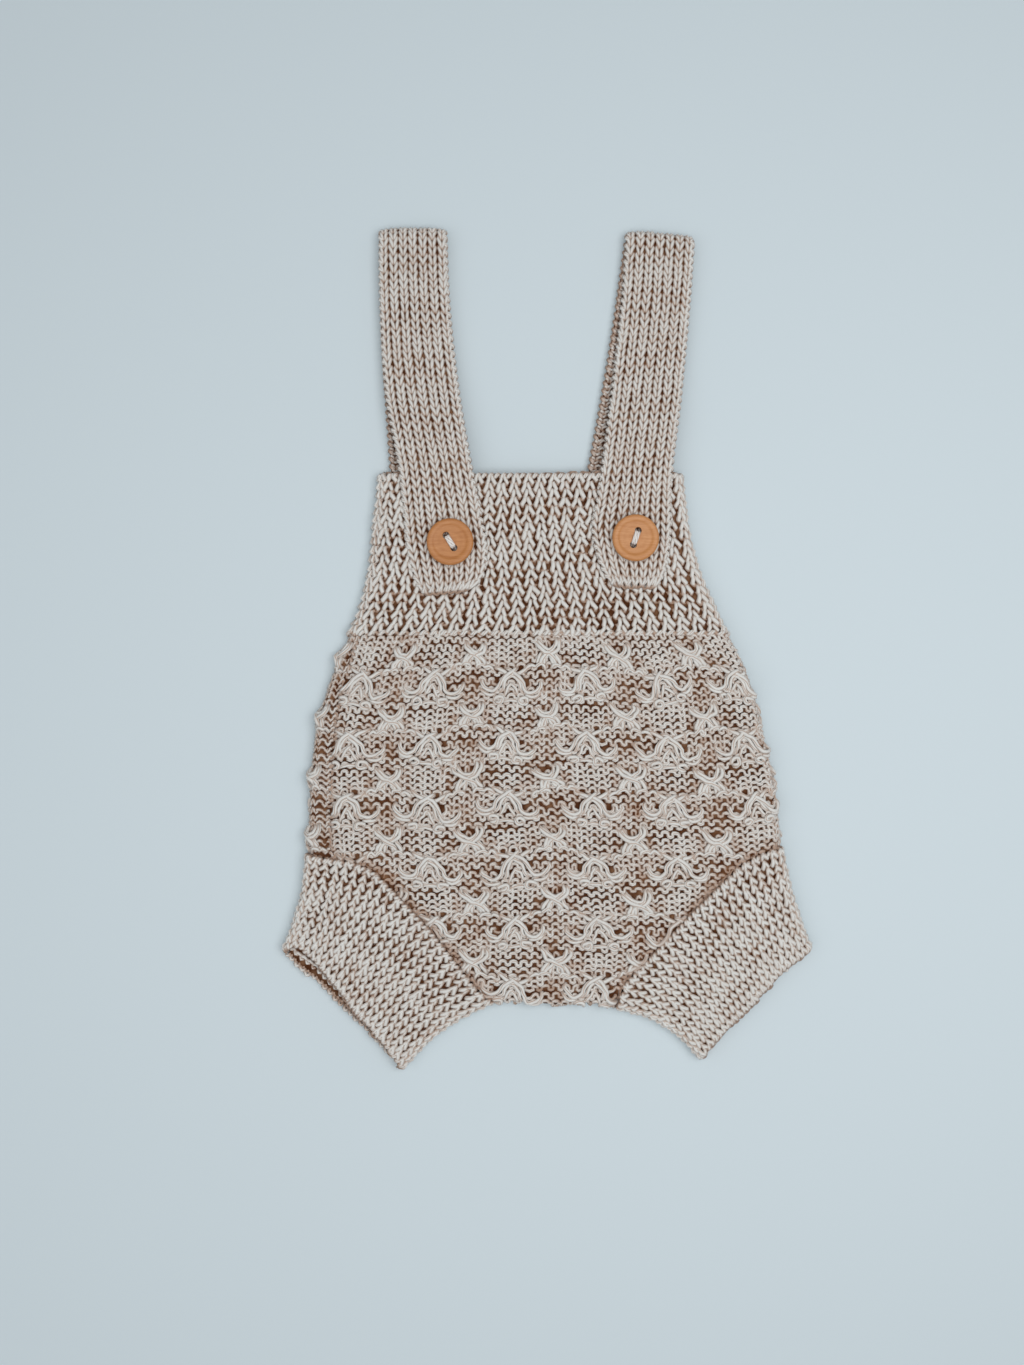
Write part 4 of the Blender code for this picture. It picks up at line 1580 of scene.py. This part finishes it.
@dataclass(frozen=True)
class WoodFinish:
    """Turned wood with fine rings, brushed smooth.

    Attributes:
        name: the material's name.
        light: colour of the early wood.
        dark: colour of the grain lines.
        turn: which way the grain runs, in radians.
    """

    name: str
    light: tuple
    dark: tuple
    turn: float

    def build(self, centre: Vector) -> bpy.types.Material:
        """Make the material.

        Args:
            centre: the button's middle, about which the rings lie, in metres.

        Returns:
            The material.
        """
        material, nodes, shader = new_material(self.name, Specular_IOR_Level=0.4)
        place = nodes.add("ShaderNodeTexCoord")
        moved = nodes.add("ShaderNodeMapping", vector_type="POINT")
        moved.inputs["Location"].default_value = tuple(-centre)
        turned = nodes.add("ShaderNodeMapping", vector_type="POINT")
        turned.inputs["Rotation"].default_value = (0.0, 0.0, self.turn)
        turned.inputs["Scale"].default_value = (1.0, 7.0, 1.0)
        nodes.link(place.outputs["Object"], moved.inputs["Vector"])
        nodes.link(moved.outputs[0], turned.inputs["Vector"])
        grain = nodes.add("ShaderNodeTexNoise")
        grain.inputs["Scale"].default_value = 190.0
        grain.inputs["Detail"].default_value = 6.0
        grain.inputs["Roughness"].default_value = 0.65
        nodes.link(turned.outputs[0], grain.inputs["Vector"])
        rings = nodes.add("ShaderNodeTexWave", wave_type="RINGS", rings_direction="Z")
        rings.inputs["Scale"].default_value = 150.0
        rings.inputs["Distortion"].default_value = 1.5
        rings.inputs["Detail"].default_value = 2.0
        nodes.link(moved.outputs[0], rings.inputs["Vector"])
        both = nodes.math("ADD", nodes.math("MULTIPLY", grain.outputs[0], 0.94),
                          nodes.math("MULTIPLY", rings.outputs["Fac"], 0.06))
        share = nodes.spread(both, 0.36, 0.68)
        colour = nodes.mix(share, self.dark, self.light)
        nodes.link(colour, shader.inputs["Base Color"])
        nodes.link(nodes.spread(both, 0.2, 0.8, 0.5, 0.36), shader.inputs["Roughness"])
        nodes.bump(both, 0.12, 0.1, shader)
        return material


# ---------------------------------------------------------------- pieces


CORD_STEPS = 8              # points in one stitch of an edge's chain
CORD_SHADE = -1.1           # the lift that sets the chain's shade, mm
EDGE_CLEAR = 0.35           # how far the body's yarn stays off its lower edge, mm
GROUND_CLEAR = 0.2          # how far its ground cloth does, mm
SEAM_CLEAR = 0.1            # how far the bib and the body stay off the seam between them, mm
EDGE_STEPS = 600            # places at which a column looks for the lower edge
AREA_STEPS = 60             # columns whose lengths make up the area of one half
SEWING_TURN = 0.05          # how far the sewing yarn's twist goes on from point to point


def add_object(name: str, data: bpy.types.ID) -> bpy.types.Object:
    """Put a mesh, a light or a camera into the scene.

    Args:
        name: the object's name.
        data: what it holds.

    Returns:
        The object.
    """
    item = bpy.data.objects.new(name, data)
    bpy.context.scene.collection.objects.link(item)
    return item


def finish_mesh(name: str, bm: bmesh.types.BMesh) -> bpy.types.Mesh:
    """Turn a bmesh into a mesh of some name, and free it.

    Args:
        name: the mesh's name.
        bm: the bmesh.

    Returns:
        The mesh.
    """
    mesh = bpy.data.meshes.new(name)
    bm.to_mesh(mesh)
    bm.free()
    return mesh


def ground_cloth_painted_shade(name: str, cloth: ClothMap, columns: int, rows: int, material: bpy.types.Material,
                 reach: Optional[Callable[[float], float]] = None, inset: float = 0.0,
                 level: float = GROUND_LEVEL) -> bpy.types.Object:
    """The thin cloth under the yarn, lofted on its map; it fills the gaps between the yarns, and its
    material paints shade there.

    Args:
        name: the piece's name.
        cloth: the surface.
        columns: steps across.
        rows: steps along.
        material: its finish.
        reach: how far along the cloth ends at a share across, or None for the whole length.
        inset: how far its free edges stay back, as a share along.
        level: its upper side below the cloth's, in mm.

    Returns:
        The piece, a closed thin sheet.
    """
    bm = bmesh.new()
    grid = []
    count = columns if cloth.closed else columns + 1
    for column in range(count):
        u = column / columns
        end = 1.0 if reach is None else reach(u)
        u = u if cloth.closed else 0.5 + (u - 0.5) * (1 + SPILL / 2)
        v = np.linspace(inset, end - inset, rows + 1)
        points, _ = cloth.at(np.full(rows + 1, u), v, np.full(rows + 1, level * MM))
        grid.append([bm.verts.new(point) for point in points])
    if cloth.closed:
        grid.append(grid[0])
    for left, right in zip(grid, grid[1:]):
        for row in range(rows):
            bm.faces.new((left[row], left[row + 1], right[row + 1], right[row]))
    mesh = finish_mesh(name, bm)
    mesh.shade_smooth()
    mesh.materials.append(material)
    item = add_object(name, mesh)
    wall = item.modifiers.new("wall", "SOLIDIFY")
    wall.thickness = GROUND_THICKNESS * MM
    wall.offset = -1.0
    return item


def edge_cord(yarn: YarnMesh, cloth: ClothMap, path: np.ndarray, pitch: float, reach: float,
              radius: float, level: float = -1.2) -> None:
    """Wind yarn along a free edge, like the chain of a cast-on or bound-off edge.

    Args:
        yarn: the piece that it goes into.
        cloth: the surface.
        path: shares u and v along the edge, close together.
        pitch: length of one stitch of the chain, in metres.
        reach: how far it winds out and in, in metres.
        radius: the yarn's radius, in metres.
        level: its middle below the cloth's upper side, in mm.
    """
    base, normals = cloth.at(path[:, 0], path[:, 1], np.full(len(path), level * MM))
    lengths = lengths_along(base)
    count = int(lengths[-1] / pitch) * CORD_STEPS + 1
    at = np.linspace(0.0, lengths[-1], count)
    middle, normal = read_line(base, lengths, at), read_line(normals, lengths, at)
    tangent = np.gradient(middle, axis=0)
    tangent /= np.linalg.norm(tangent, axis=1, keepdims=True)
    side = np.cross(tangent, normal)
    angle = 2 * math.pi * np.arange(count) / CORD_STEPS
    lift = np.sin(angle) * reach
    points = middle + side * (np.cos(angle) * reach)[:, None] + normal * lift[:, None]
    yarn.add(points, normal, np.full(count, radius), lift + CORD_SHADE * MM, at / pitch)


class Knit:
    """The finishes that pieces share, and the list of finished pieces."""

    def __init__(self) -> None:
        """Make the finishes."""
        ply = ply_group()
        # Each yarn finish sets through low and high how much painted shade its yarn takes from its depth;
        # the sewing yarn's range lies far below its depths, so it takes none.
        self.rib = YarnFinish("rib_yarn").build(ply)
        self.cuff = YarnFinish("cuff_yarn", low=-1.6, high=-0.05).build(ply)
        self.pattern = YarnFinish("pattern_yarn", low=-1.75, high=-0.76).build(ply)
        self.strands = YarnFinish("slipped_yarn", low=-2.3, high=-0.8, turns=1, groove_shade=1.0).build(ply)
        self.stocking = YarnFinish("stocking_yarn", high=-0.3).build(ply)
        self.sewing = YarnFinish("sewing_yarn_cotton", pale=(0.86, 0.84, 0.81, 1.0), low=-9.0,
                                 high=-8.0, turns=2).build(ply)
        # The ground cloth's dark brown finish is painted shade between the yarns.
        self.ground = GapShadeFinish("ground_cloth_painted_shade").build()
        self.made: list[bpy.types.Object] = []

    def keep(self, item: bpy.types.Object, slot: str, nodes: Sequence[str] = ()) -> bpy.types.Object:
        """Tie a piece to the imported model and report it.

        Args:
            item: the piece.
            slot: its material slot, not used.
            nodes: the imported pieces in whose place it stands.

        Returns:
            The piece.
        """
        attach(item, "root")
        if nodes:
            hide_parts(*nodes)
        self.made.append(item)
        log.info("%s: %d faces", item.name, len(item.data.polygons))
        return item


@dataclass
class Bib:
    """The two halves of the 1x1 rib bib.

    Attributes:
        front_wales: knit columns of the front half.
        back_wales: knit columns of the back half.
        rows: courses.
    """

    front_wales: int = 27
    back_wales: int = 24
    rows: int = 20

    def build(self, knit: Knit) -> None:
        """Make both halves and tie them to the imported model.

        Args:
            knit: the shared finishes.
        """
        halves = (
            ("back_band", back_outline, False, self.back_wales, UNDER_RIB, 4, (0.130, 0.0620)),
            ("front_band", front_outline, True, self.front_wales, RIB, 6, (0.145, 0.0620)),
        )
        for name, outline, facing_up, wales, loop, sides, flat in halves:
            cloth = body_map(outline, facing_up, BAND_TOP, BAND_SEAM + SEAM_CLEAR)
            ground = ground_cloth_painted_shade(name + "_ground", cloth, 44, 14, knit.ground, inset=0.012)
            knit.keep(ground, "rib_knit", [name])
            yarn = YarnMesh(name + "_yarn", sides)
            fabric = Fabric(cloth, loop, wales, self.rows, seed=11 + sides, uneven=1.2, sink=-0.35)
            fabric.lay(yarn, 0.5, self.rows)
            for v, pitch, level in ((0.006, 2.45, -1.2), (0.999, 3.9, -0.9)):
                rim = np.stack([np.linspace(0.004, 0.996, 200), np.full(200, v)], axis=1)
                edge_cord(yarn, cloth, rim, pitch * MM, 0.6 * MM, 0.8 * MM, level=level)
            stitches = knit.keep(yarn.build(knit.rib), "rib_knit")


@dataclass
class Body:
    """The patterned front and back of the body.

    Attributes:
        wales: stitches across each half.
        bow_wale: where a bow's middle lies across, in stitches.
        bow_up: how far up the middle of the uppermost bows lies, in mm.
        split: the share of the rows after which the yarn goes on as a second piece.
        start: how far into its rows a piece of yarn begins, in rows.
        leg_dip: how much deeper the yarn lies beside a leg opening, in mm.
        leg_reach: how far from the opening it still does, in mm.
        seam_dip: how much deeper it lies in the left side seam, in mm.
        seam_reach: how far from the seam it still does, in mm.
        average: the average width of one half, as a share of its width half way down.
    """

    wales: int = 48
    bow_wale: float = 22.0
    bow_up: float = -1.8
    split: float = 1 / 2.4
    start: float = 0.15
    leg_dip: float = 0.75
    leg_reach: float = 2.4
    seam_dip: float = 0.85
    seam_reach: float = 1.5
    average: float = 0.985

    def __post_init__(self) -> None:
        """Note where the left side seam runs."""
        self.levels = np.linspace(BODY_END, BAND_SEAM, 80)
        self.seams = np.array([section(float(level)).seam for level in self.levels])

    def inside(self, across: np.ndarray, up: np.ndarray) -> np.ndarray:
        """Whether points, in mm, lie above the leg openings and the crotch."""
        return up > lower_edge(across) + EDGE_CLEAR

    def dip(self, across: np.ndarray, up: np.ndarray) -> np.ndarray:
        """Sink the yarn beside the leg openings and in the left side seam, and darken it there as painted
        shade.

        Args:
            across: places across, in mm.
            up: places up, in mm.

        Returns:
            How much deeper the yarn lies at each place, in mm, which also darkens it as painted shade.
        """
        away = np.minimum(edge_distance(across, up, LEFT_LEG), edge_distance(across, up, RIGHT_LEG))
        off = across - np.interp(up, self.levels, self.seams)
        return (self.leg_dip * np.exp(-((away / self.leg_reach) ** 2))
                + self.seam_dip * np.exp(-((off / self.seam_reach) ** 2)))

    def build(self, knit: Knit) -> None:
        """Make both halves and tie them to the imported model.

        Args:
            knit: the shared finishes.
        """
        top = BAND_SEAM - SEAM_CLEAR
        rows = (top - BODY_END) / STITCH_DOWN
        halves = (
            ("back_panel", back_outline, False, 4, UNDER_PURL, 1, (0.185, 0.146)),
            ("front_panel", front_outline, True, 5, PURL_GROUND, 2, (0.190, 0.146)),
        )
        for name, outline, facing_up, sides, loop, steps, flat in halves:
            cloth = body_map(outline, facing_up, top, BODY_END)
            reach = self.reach(cloth)
            ground = ground_cloth_painted_shade(name + "_ground", cloth, 64, 40, knit.ground, reach=reach)
            knit.keep(ground, "pattern_knit", [name])
            pattern = LacePattern(wale=self.bow_wale, row=(top - self.bow_up) / STITCH_DOWN)
            fabric = Fabric(cloth, loop, self.wales, rows, seed=21 + sides, uneven=1.5,
                            inside=self.inside, shift=pattern.shift, sink=0.0 if facing_up else -0.2,
                            dip=self.dip if facing_up else None)
            half = math.floor(rows * self.split)
            parts = ((self.start, half - 0.5), (half + self.start, rows))
            for part, (first, last) in enumerate(parts):
                yarn = YarnMesh(f"{name}_yarn_{part + 1}", sides)
                fabric.lay(yarn, first, last)
                knit.keep(yarn.build(knit.pattern), "pattern_knit")
            strands = YarnMesh(name + "_strands", sides + 1)
            pattern.lay(strands, fabric, 31 + sides, steps)
            knit.keep(strands.build(knit.strands), "pattern_knit")
            self.area(cloth, reach)

    def reach(self, cloth: ClothMap) -> Callable[[float], float]:
        """Find how far along the cloth its lower edge lies.

        Args:
            cloth: the surface of one half.

        Returns:
            A function from the share across to the share along.
        """
        v = np.linspace(0.0, 1.0, EDGE_STEPS)

        def read(u: float) -> float:
            """Find where one column meets the lower edge.

            Args:
                u: its share across.

            Returns:
                The share along.
            """
            points, _ = cloth.at(np.full(EDGE_STEPS, u), v, np.zeros(EDGE_STEPS))
            out = points[:, 1] / MM < lower_edge(points[:, 0] / MM) + GROUND_CLEAR
            return float(v[np.argmax(out)]) if out.any() else 1.0

        return read

    def area(self, cloth: ClothMap, reach: Callable[[float], float]) -> float:
        """Work out the flat area of one half.

        Args:
            cloth: its surface.
            reach: how far along it ends, from the share across.

        Returns:
            The area in square metres.
        """
        shares = [float(u) for u in np.linspace(0, 1, AREA_STEPS)]
        total = sum(cloth.length(u) * reach(u) for u in shares)
        return total / AREA_STEPS * cloth.width(0.5) * self.average


@dataclass
class LegCuff:
    """One ribbed leg cuff.

    Attributes:
        side: left or right, as seen.
        shape: its tables.
        wales: knit columns all round.
        rows: courses.
    """

    side: str
    shape: CuffShape
    wales: int = 50
    rows: int = 15

    def build(self, knit: Knit, seed: int) -> None:
        """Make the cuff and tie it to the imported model.

        Args:
            knit: the shared finishes.
            seed: for its unevenness.
        """
        name = "leg_cuff_" + self.side
        cloth = cuff_map(self.shape)
        ground = ground_cloth_painted_shade(name + "_ground", cloth, 80, 12, knit.ground, inset=0.015)
        knit.keep(ground, "rib_knit", [name])
        yarn = YarnMesh(name + "_yarn", 5)
        Fabric(cloth, CUFF_RIB, self.wales, self.rows, seed=seed, uneven=1.3, sink=-0.3).lay(yarn)
        for v in (0.985, 0.012):
            rim = np.stack([np.linspace(0.0, 0.9999, 400), np.full(400, v)], axis=1)
            edge_cord(yarn, cloth, rim, 2.2 * MM, 0.5 * MM, 0.75 * MM, level=-1.1)
        stitches = knit.keep(yarn.build(knit.cuff), "rib_knit")
        width = (cloth.width(0.0) + cloth.width(1.0)) / 2
        length = (cloth.length(0.1) + cloth.length(0.3) + cloth.length(0.5)) / 3


@dataclass
class ShoulderStrap:
    """One stocking-stitch strap.

    Attributes:
        side: left or right, as seen.
        shape: its tables.
        wales: columns of stitches.
        rows: courses along its whole length.
    """

    side: str
    shape: StrapShape
    wales: int = 7
    rows: int = 78

    def build(self, knit: Knit, seed: int) -> None:
        """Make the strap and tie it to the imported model.

        Args:
            knit: the shared finishes.
            seed: for its unevenness.
        """
        name = "strap_" + self.side
        cloth = strap_map(self.shape)
        ground = ground_cloth_painted_shade(name + "_ground", cloth, 10, 100, knit.ground, inset=0.004, level=-1.45)
        knit.keep(ground, "stocking_knit", [name])
        yarn = YarnMesh(name + "_yarn", 5)
        Fabric(cloth, STOCKING, self.wales, self.rows, heads=-1, seed=seed, uneven=0.9,
               sink=-0.15).lay(yarn)
        for u in (0.012, 0.988):
            rim = np.stack([np.full(400, u), np.linspace(0.002, 0.996, 400)], axis=1)
            edge_cord(yarn, cloth, rim, 3.0 * MM, 0.6 * MM, 0.78 * MM, level=-1.6)
        end = np.stack([np.linspace(0.03, 0.97, 60), np.full(60, 0.996)], axis=1)
        edge_cord(yarn, cloth, end, 2.6 * MM, 0.7 * MM, 0.8 * MM, level=-1.3)
        stitches = knit.keep(yarn.build(knit.stocking), "stocking_knit")
        cloth.length(0.5)


@dataclass
class WoodButton:
    """One turned button with a dish and two holes, and the yarn that sews it on.

    Attributes:
        side: left or right, as seen.
        place: where it sits.
        wood: its finish.
        radius: of the button, in mm.
        thickness: from its underside to its rim's top, in mm.
        rim: how far the rim is rounded, in mm.
        dish: how far the middle is turned down, in mm.
        dish_radius: of the dish at the top, in mm.
        dish_flat: how much of that radius is flat, as a share.
        hole_radius: of each hole, in mm.
        hole_spacing: between the middles of the holes, in mm.
        thread: radius of the sewing yarn, in mm.
        bar: how far the yarn stands above the dish, in mm.
        beside: how far each strand lies from the line of the holes, in mm.
    """

    side: str
    place: ButtonPlace
    wood: WoodFinish
    radius: float = 9.0
    thickness: float = 3.0
    rim: float = 1.0
    dish: float = 0.45
    dish_radius: float = 7.4
    dish_flat: float = 0.78
    hole_radius: float = 1.35
    hole_spacing: float = 5.7
    thread: float = 0.56
    bar: float = 0.62
    beside: float = 0.52

    def matrix(self) -> Matrix:
        """Place the button's underside, with its holes along the local X axis.

        Returns:
            The matrix of its place, in metres.
        """
        height = front_height(self.place.up) + 2 * GAP + CLOTH
        spot = Vector((self.place.across, self.place.up, height)) * MM
        return Matrix.Translation(spot) @ Matrix.Rotation(math.radians(self.place.turn), 4, "Z")

    def profile(self) -> list[tuple[float, float]]:
        """Draw half of the button's section.

        Returns:
            Radii and heights from the middle of its top to the middle below, in mm.
        """
        top, steps = self.thickness, 6
        flat = self.dish_radius * self.dish_flat
        points = [(0.0, top - self.dish), (flat, top - self.dish)]
        for step in range(1, steps):
            share = step / steps
            wave = (1 - math.cos(math.pi * share)) / 2
            points.append((lerp(flat, self.dish_radius, share), top - self.dish * (1 - wave)))
        for corner_top, start in ((True, math.pi / 2), (False, 0.0)):
            centre = top - self.rim if corner_top else self.rim
            for step in range(steps + 1):
                angle = start - math.pi / 2 * step / steps
                points.append((self.radius - self.rim + self.rim * math.cos(angle),
                               centre + self.rim * math.sin(angle)))
        return points + [(0.0, 0.0)]

    def turned(self, name: str, place: Matrix) -> bpy.types.Object:
        """Turn the button without its holes.

        Args:
            name: the piece's name.
            place: where it sits.

        Returns:
            The piece.
        """
        bm = bmesh.new()
        line = [bm.verts.new((x * MM, 0.0, z * MM)) for x, z in self.profile()]
        edges = [bm.edges.new(pair) for pair in zip(line, line[1:])]
        bmesh.ops.spin(bm, geom=line + edges, axis=(0, 0, 1), cent=(0, 0, 0), angle=2 * math.pi,
                       steps=72, use_merge=True)
        bmesh.ops.remove_doubles(bm, verts=bm.verts, dist=0.002 * MM)
        bmesh.ops.recalc_face_normals(bm, faces=bm.faces)
        bmesh.ops.transform(bm, matrix=place, verts=bm.verts)
        return add_object(name, finish_mesh(name, bm))

    def drill(self, item: bpy.types.Object, place: Matrix) -> bpy.types.Mesh:
        """Drill the holes.

        Args:
            item: the turned button, which is given its drilled mesh.
            place: where it sits.

        Returns:
            The drilled mesh.
        """
        cutters = []
        for side in (-1, 1):
            hole = bmesh.new()
            spot = Matrix.Translation((side * self.hole_spacing / 2 * MM, 0.0, self.thickness / 2 * MM))
            bmesh.ops.create_cone(hole, cap_ends=True, segments=32, radius1=self.hole_radius * MM,
                                  radius2=self.hole_radius * MM, depth=self.thickness * 2 * MM,
                                  matrix=place @ spot)
            cutters.append(add_object("hole", finish_mesh("hole", hole)))
            cut = item.modifiers.new("hole", "BOOLEAN")
            cut.operation = "DIFFERENCE"
            cut.solver = "EXACT"
            cut.object = cutters[-1]
        graph = bpy.context.evaluated_depsgraph_get()
        graph.update()
        finished = bpy.data.meshes.new_from_object(item.evaluated_get(graph))
        item.modifiers.clear()
        item.data = finished
        for cutter in cutters:
            bpy.data.objects.remove(cutter)
        return finished

    def build(self, knit: Knit) -> None:
        """Make the button and its yarn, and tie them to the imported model.

        Args:
            knit: the shared finishes.
        """
        name = "button_" + self.side
        place = self.matrix()
        item = self.turned(name + "_turned", place)
        finished = self.drill(item, place)
        finished.materials.clear()
        finished.materials.append(self.wood.build(place.translation))
        finished.shade_smooth()
        finished.set_sharp_from_angle(angle=math.radians(50))
        knit.keep(item, "button_wood", [name])
        self.sew(knit, place)

    def sew(self, knit: Knit, place: Matrix) -> None:
        """Lay two strands of yarn side by side through the holes and the buttonhole.

        Args:
            knit: the shared finishes.
            place: where the button sits.
        """
        yarn = YarnMesh("sewing_" + self.side, 10)
        legs = self.hole_spacing / 2 - 0.7
        bar = self.thickness - self.dish + self.bar
        shape = [(-legs, -2.6), (-legs, bar - 1.1), (-legs * 0.86, bar - 0.25), (-legs * 0.5, bar),
                 (0.0, bar + 0.08), (legs * 0.5, bar), (legs * 0.86, bar - 0.25), (legs, bar - 1.1),
                 (legs, -2.6)]
        matrix = np.array(place)
        for off in (-self.beside, self.beside):
            base = np.array([(x, off * (1.0 if abs(x) < legs else 0.8), z) for x, z in shape])
            line = smooth_line(base, 5) * MM
            points = line @ matrix[:3, :3].T + matrix[:3, 3]
            tangent = np.gradient(points, axis=0)
            tangent /= np.linalg.norm(tangent, axis=1, keepdims=True)
            normals = np.cross(tangent, np.broadcast_to(matrix[:3, 1], tangent.shape))
            normals *= np.where(normals[:, 2:] < 0, -1.0, 1.0)
            count = len(points)
            yarn.add(points, normals, np.full(count, self.thread * MM), np.zeros(count),
                     np.arange(count) * SEWING_TURN)
        knit.keep(yarn.build(knit.sewing), "sewing_yarn", ["button_thread_" + self.side])


# ---------------------------------------------------------------- setting


@dataclass
class Studio:
    """The pale surface, the soft light and the camera that looks straight down.

    Attributes:
        pixel: how much of the surface one pixel of the photograph covers, in mm.
        distance: from the camera to the garment, in metres.
        middle: the place under the camera, across and up, in mm.
        height: the level at which the scale holds, in mm.
        lines: rows of pixels in the photograph.
    """

    pixel: float = 0.39
    distance: float = 0.52
    middle: tuple[float, float] = (-13.7, -12.6)
    height: float = 4.0
    lines: int = 1365

    def build(self) -> None:
        """Make the floor, the lights and the camera."""
        self.floor()
        self.lights()
        self.camera()

    def floor(self) -> None:
        """Make the pale surface."""
        bm = bmesh.new()
        bmesh.ops.create_grid(bm, x_segments=1, y_segments=1, size=1.6)
        floor = add_object("surface", finish_mesh("surface", bm))
        floor.location = (0.0, 0.0, -0.05 * MM)
        material, _, _ = new_material("pale_surface", Base_Color=(0.66, 0.745, 0.785, 1.0),
                                      Roughness=0.85, Specular_IOR_Level=0.2)
        floor.data.materials.append(material)

    def lights(self) -> None:
        """Make the soft light from above and the fill."""
        world = bpy.data.worlds.new("fill")
        world.use_nodes = True
        background = world.node_tree.nodes["Background"]
        background.inputs["Color"].default_value = (0.93, 0.97, 1.0, 1.0)
        background.inputs["Strength"].default_value = 0.30
        bpy.context.scene.world = world
        bpy.context.scene.view_settings.view_transform = "Standard"
        table = (
            ("window", (0.20, -0.02, 0.72), 0.6, 3.3),
            ("bounce", (-0.5, -0.2, 0.8), 0.9, 1.9),
        )
        for name, spot, size, power in table:
            light = bpy.data.lights.new(name, "AREA")
            light.size = size
            light.energy = power
            item = add_object(name, light)
            item.location = spot
            item.rotation_euler = (-Vector(spot)).to_track_quat("-Z", "Y").to_euler()

    def camera(self) -> None:
        """Make the camera."""
        camera = bpy.data.cameras.new("overhead")
        half = self.lines / 2 * self.pixel * MM
        camera.sensor_width = 36.0
        camera.lens = camera.sensor_width / 2 * self.distance / half
        camera.clip_start, camera.clip_end = 0.01, 20.0
        item = add_object("overhead", camera)
        item.location = (self.middle[0] * MM, self.middle[1] * MM, self.height * MM + self.distance)
        bpy.context.scene.camera = item


def main() -> None:
    """Build the overalls and their setting."""
    logging.basicConfig(level=logging.INFO, format="%(name)s %(message)s")
    Studio().build()
    knit = Knit()
    Body().build(knit)
    Bib().build(knit)
    LegCuff("left", LEFT_CUFF).build(knit, 41)
    LegCuff("right", RIGHT_CUFF).build(knit, 42)
    ShoulderStrap("left", LEFT_STRAP).build(knit, 51)
    ShoulderStrap("right", RIGHT_STRAP).build(knit, 52)
    WoodButton("left", LEFT_BUTTON, WoodFinish("wood_left", (0.56, 0.245, 0.085, 1.0),
                                               (0.44, 0.17, 0.05, 1.0), 0.4)).build(knit)
    WoodButton("right", RIGHT_BUTTON, WoodFinish("wood_right", (0.62, 0.29, 0.11, 1.0),
                                                 (0.50, 0.205, 0.065, 1.0), 1.1)).build(knit)
    triangles = 0
    for item in knit.made:
        item.data.calc_loop_triangles()
        triangles += len(item.data.loop_triangles)
    log.info("triangles: %d", triangles)


if __name__ == "__main__":
    main()
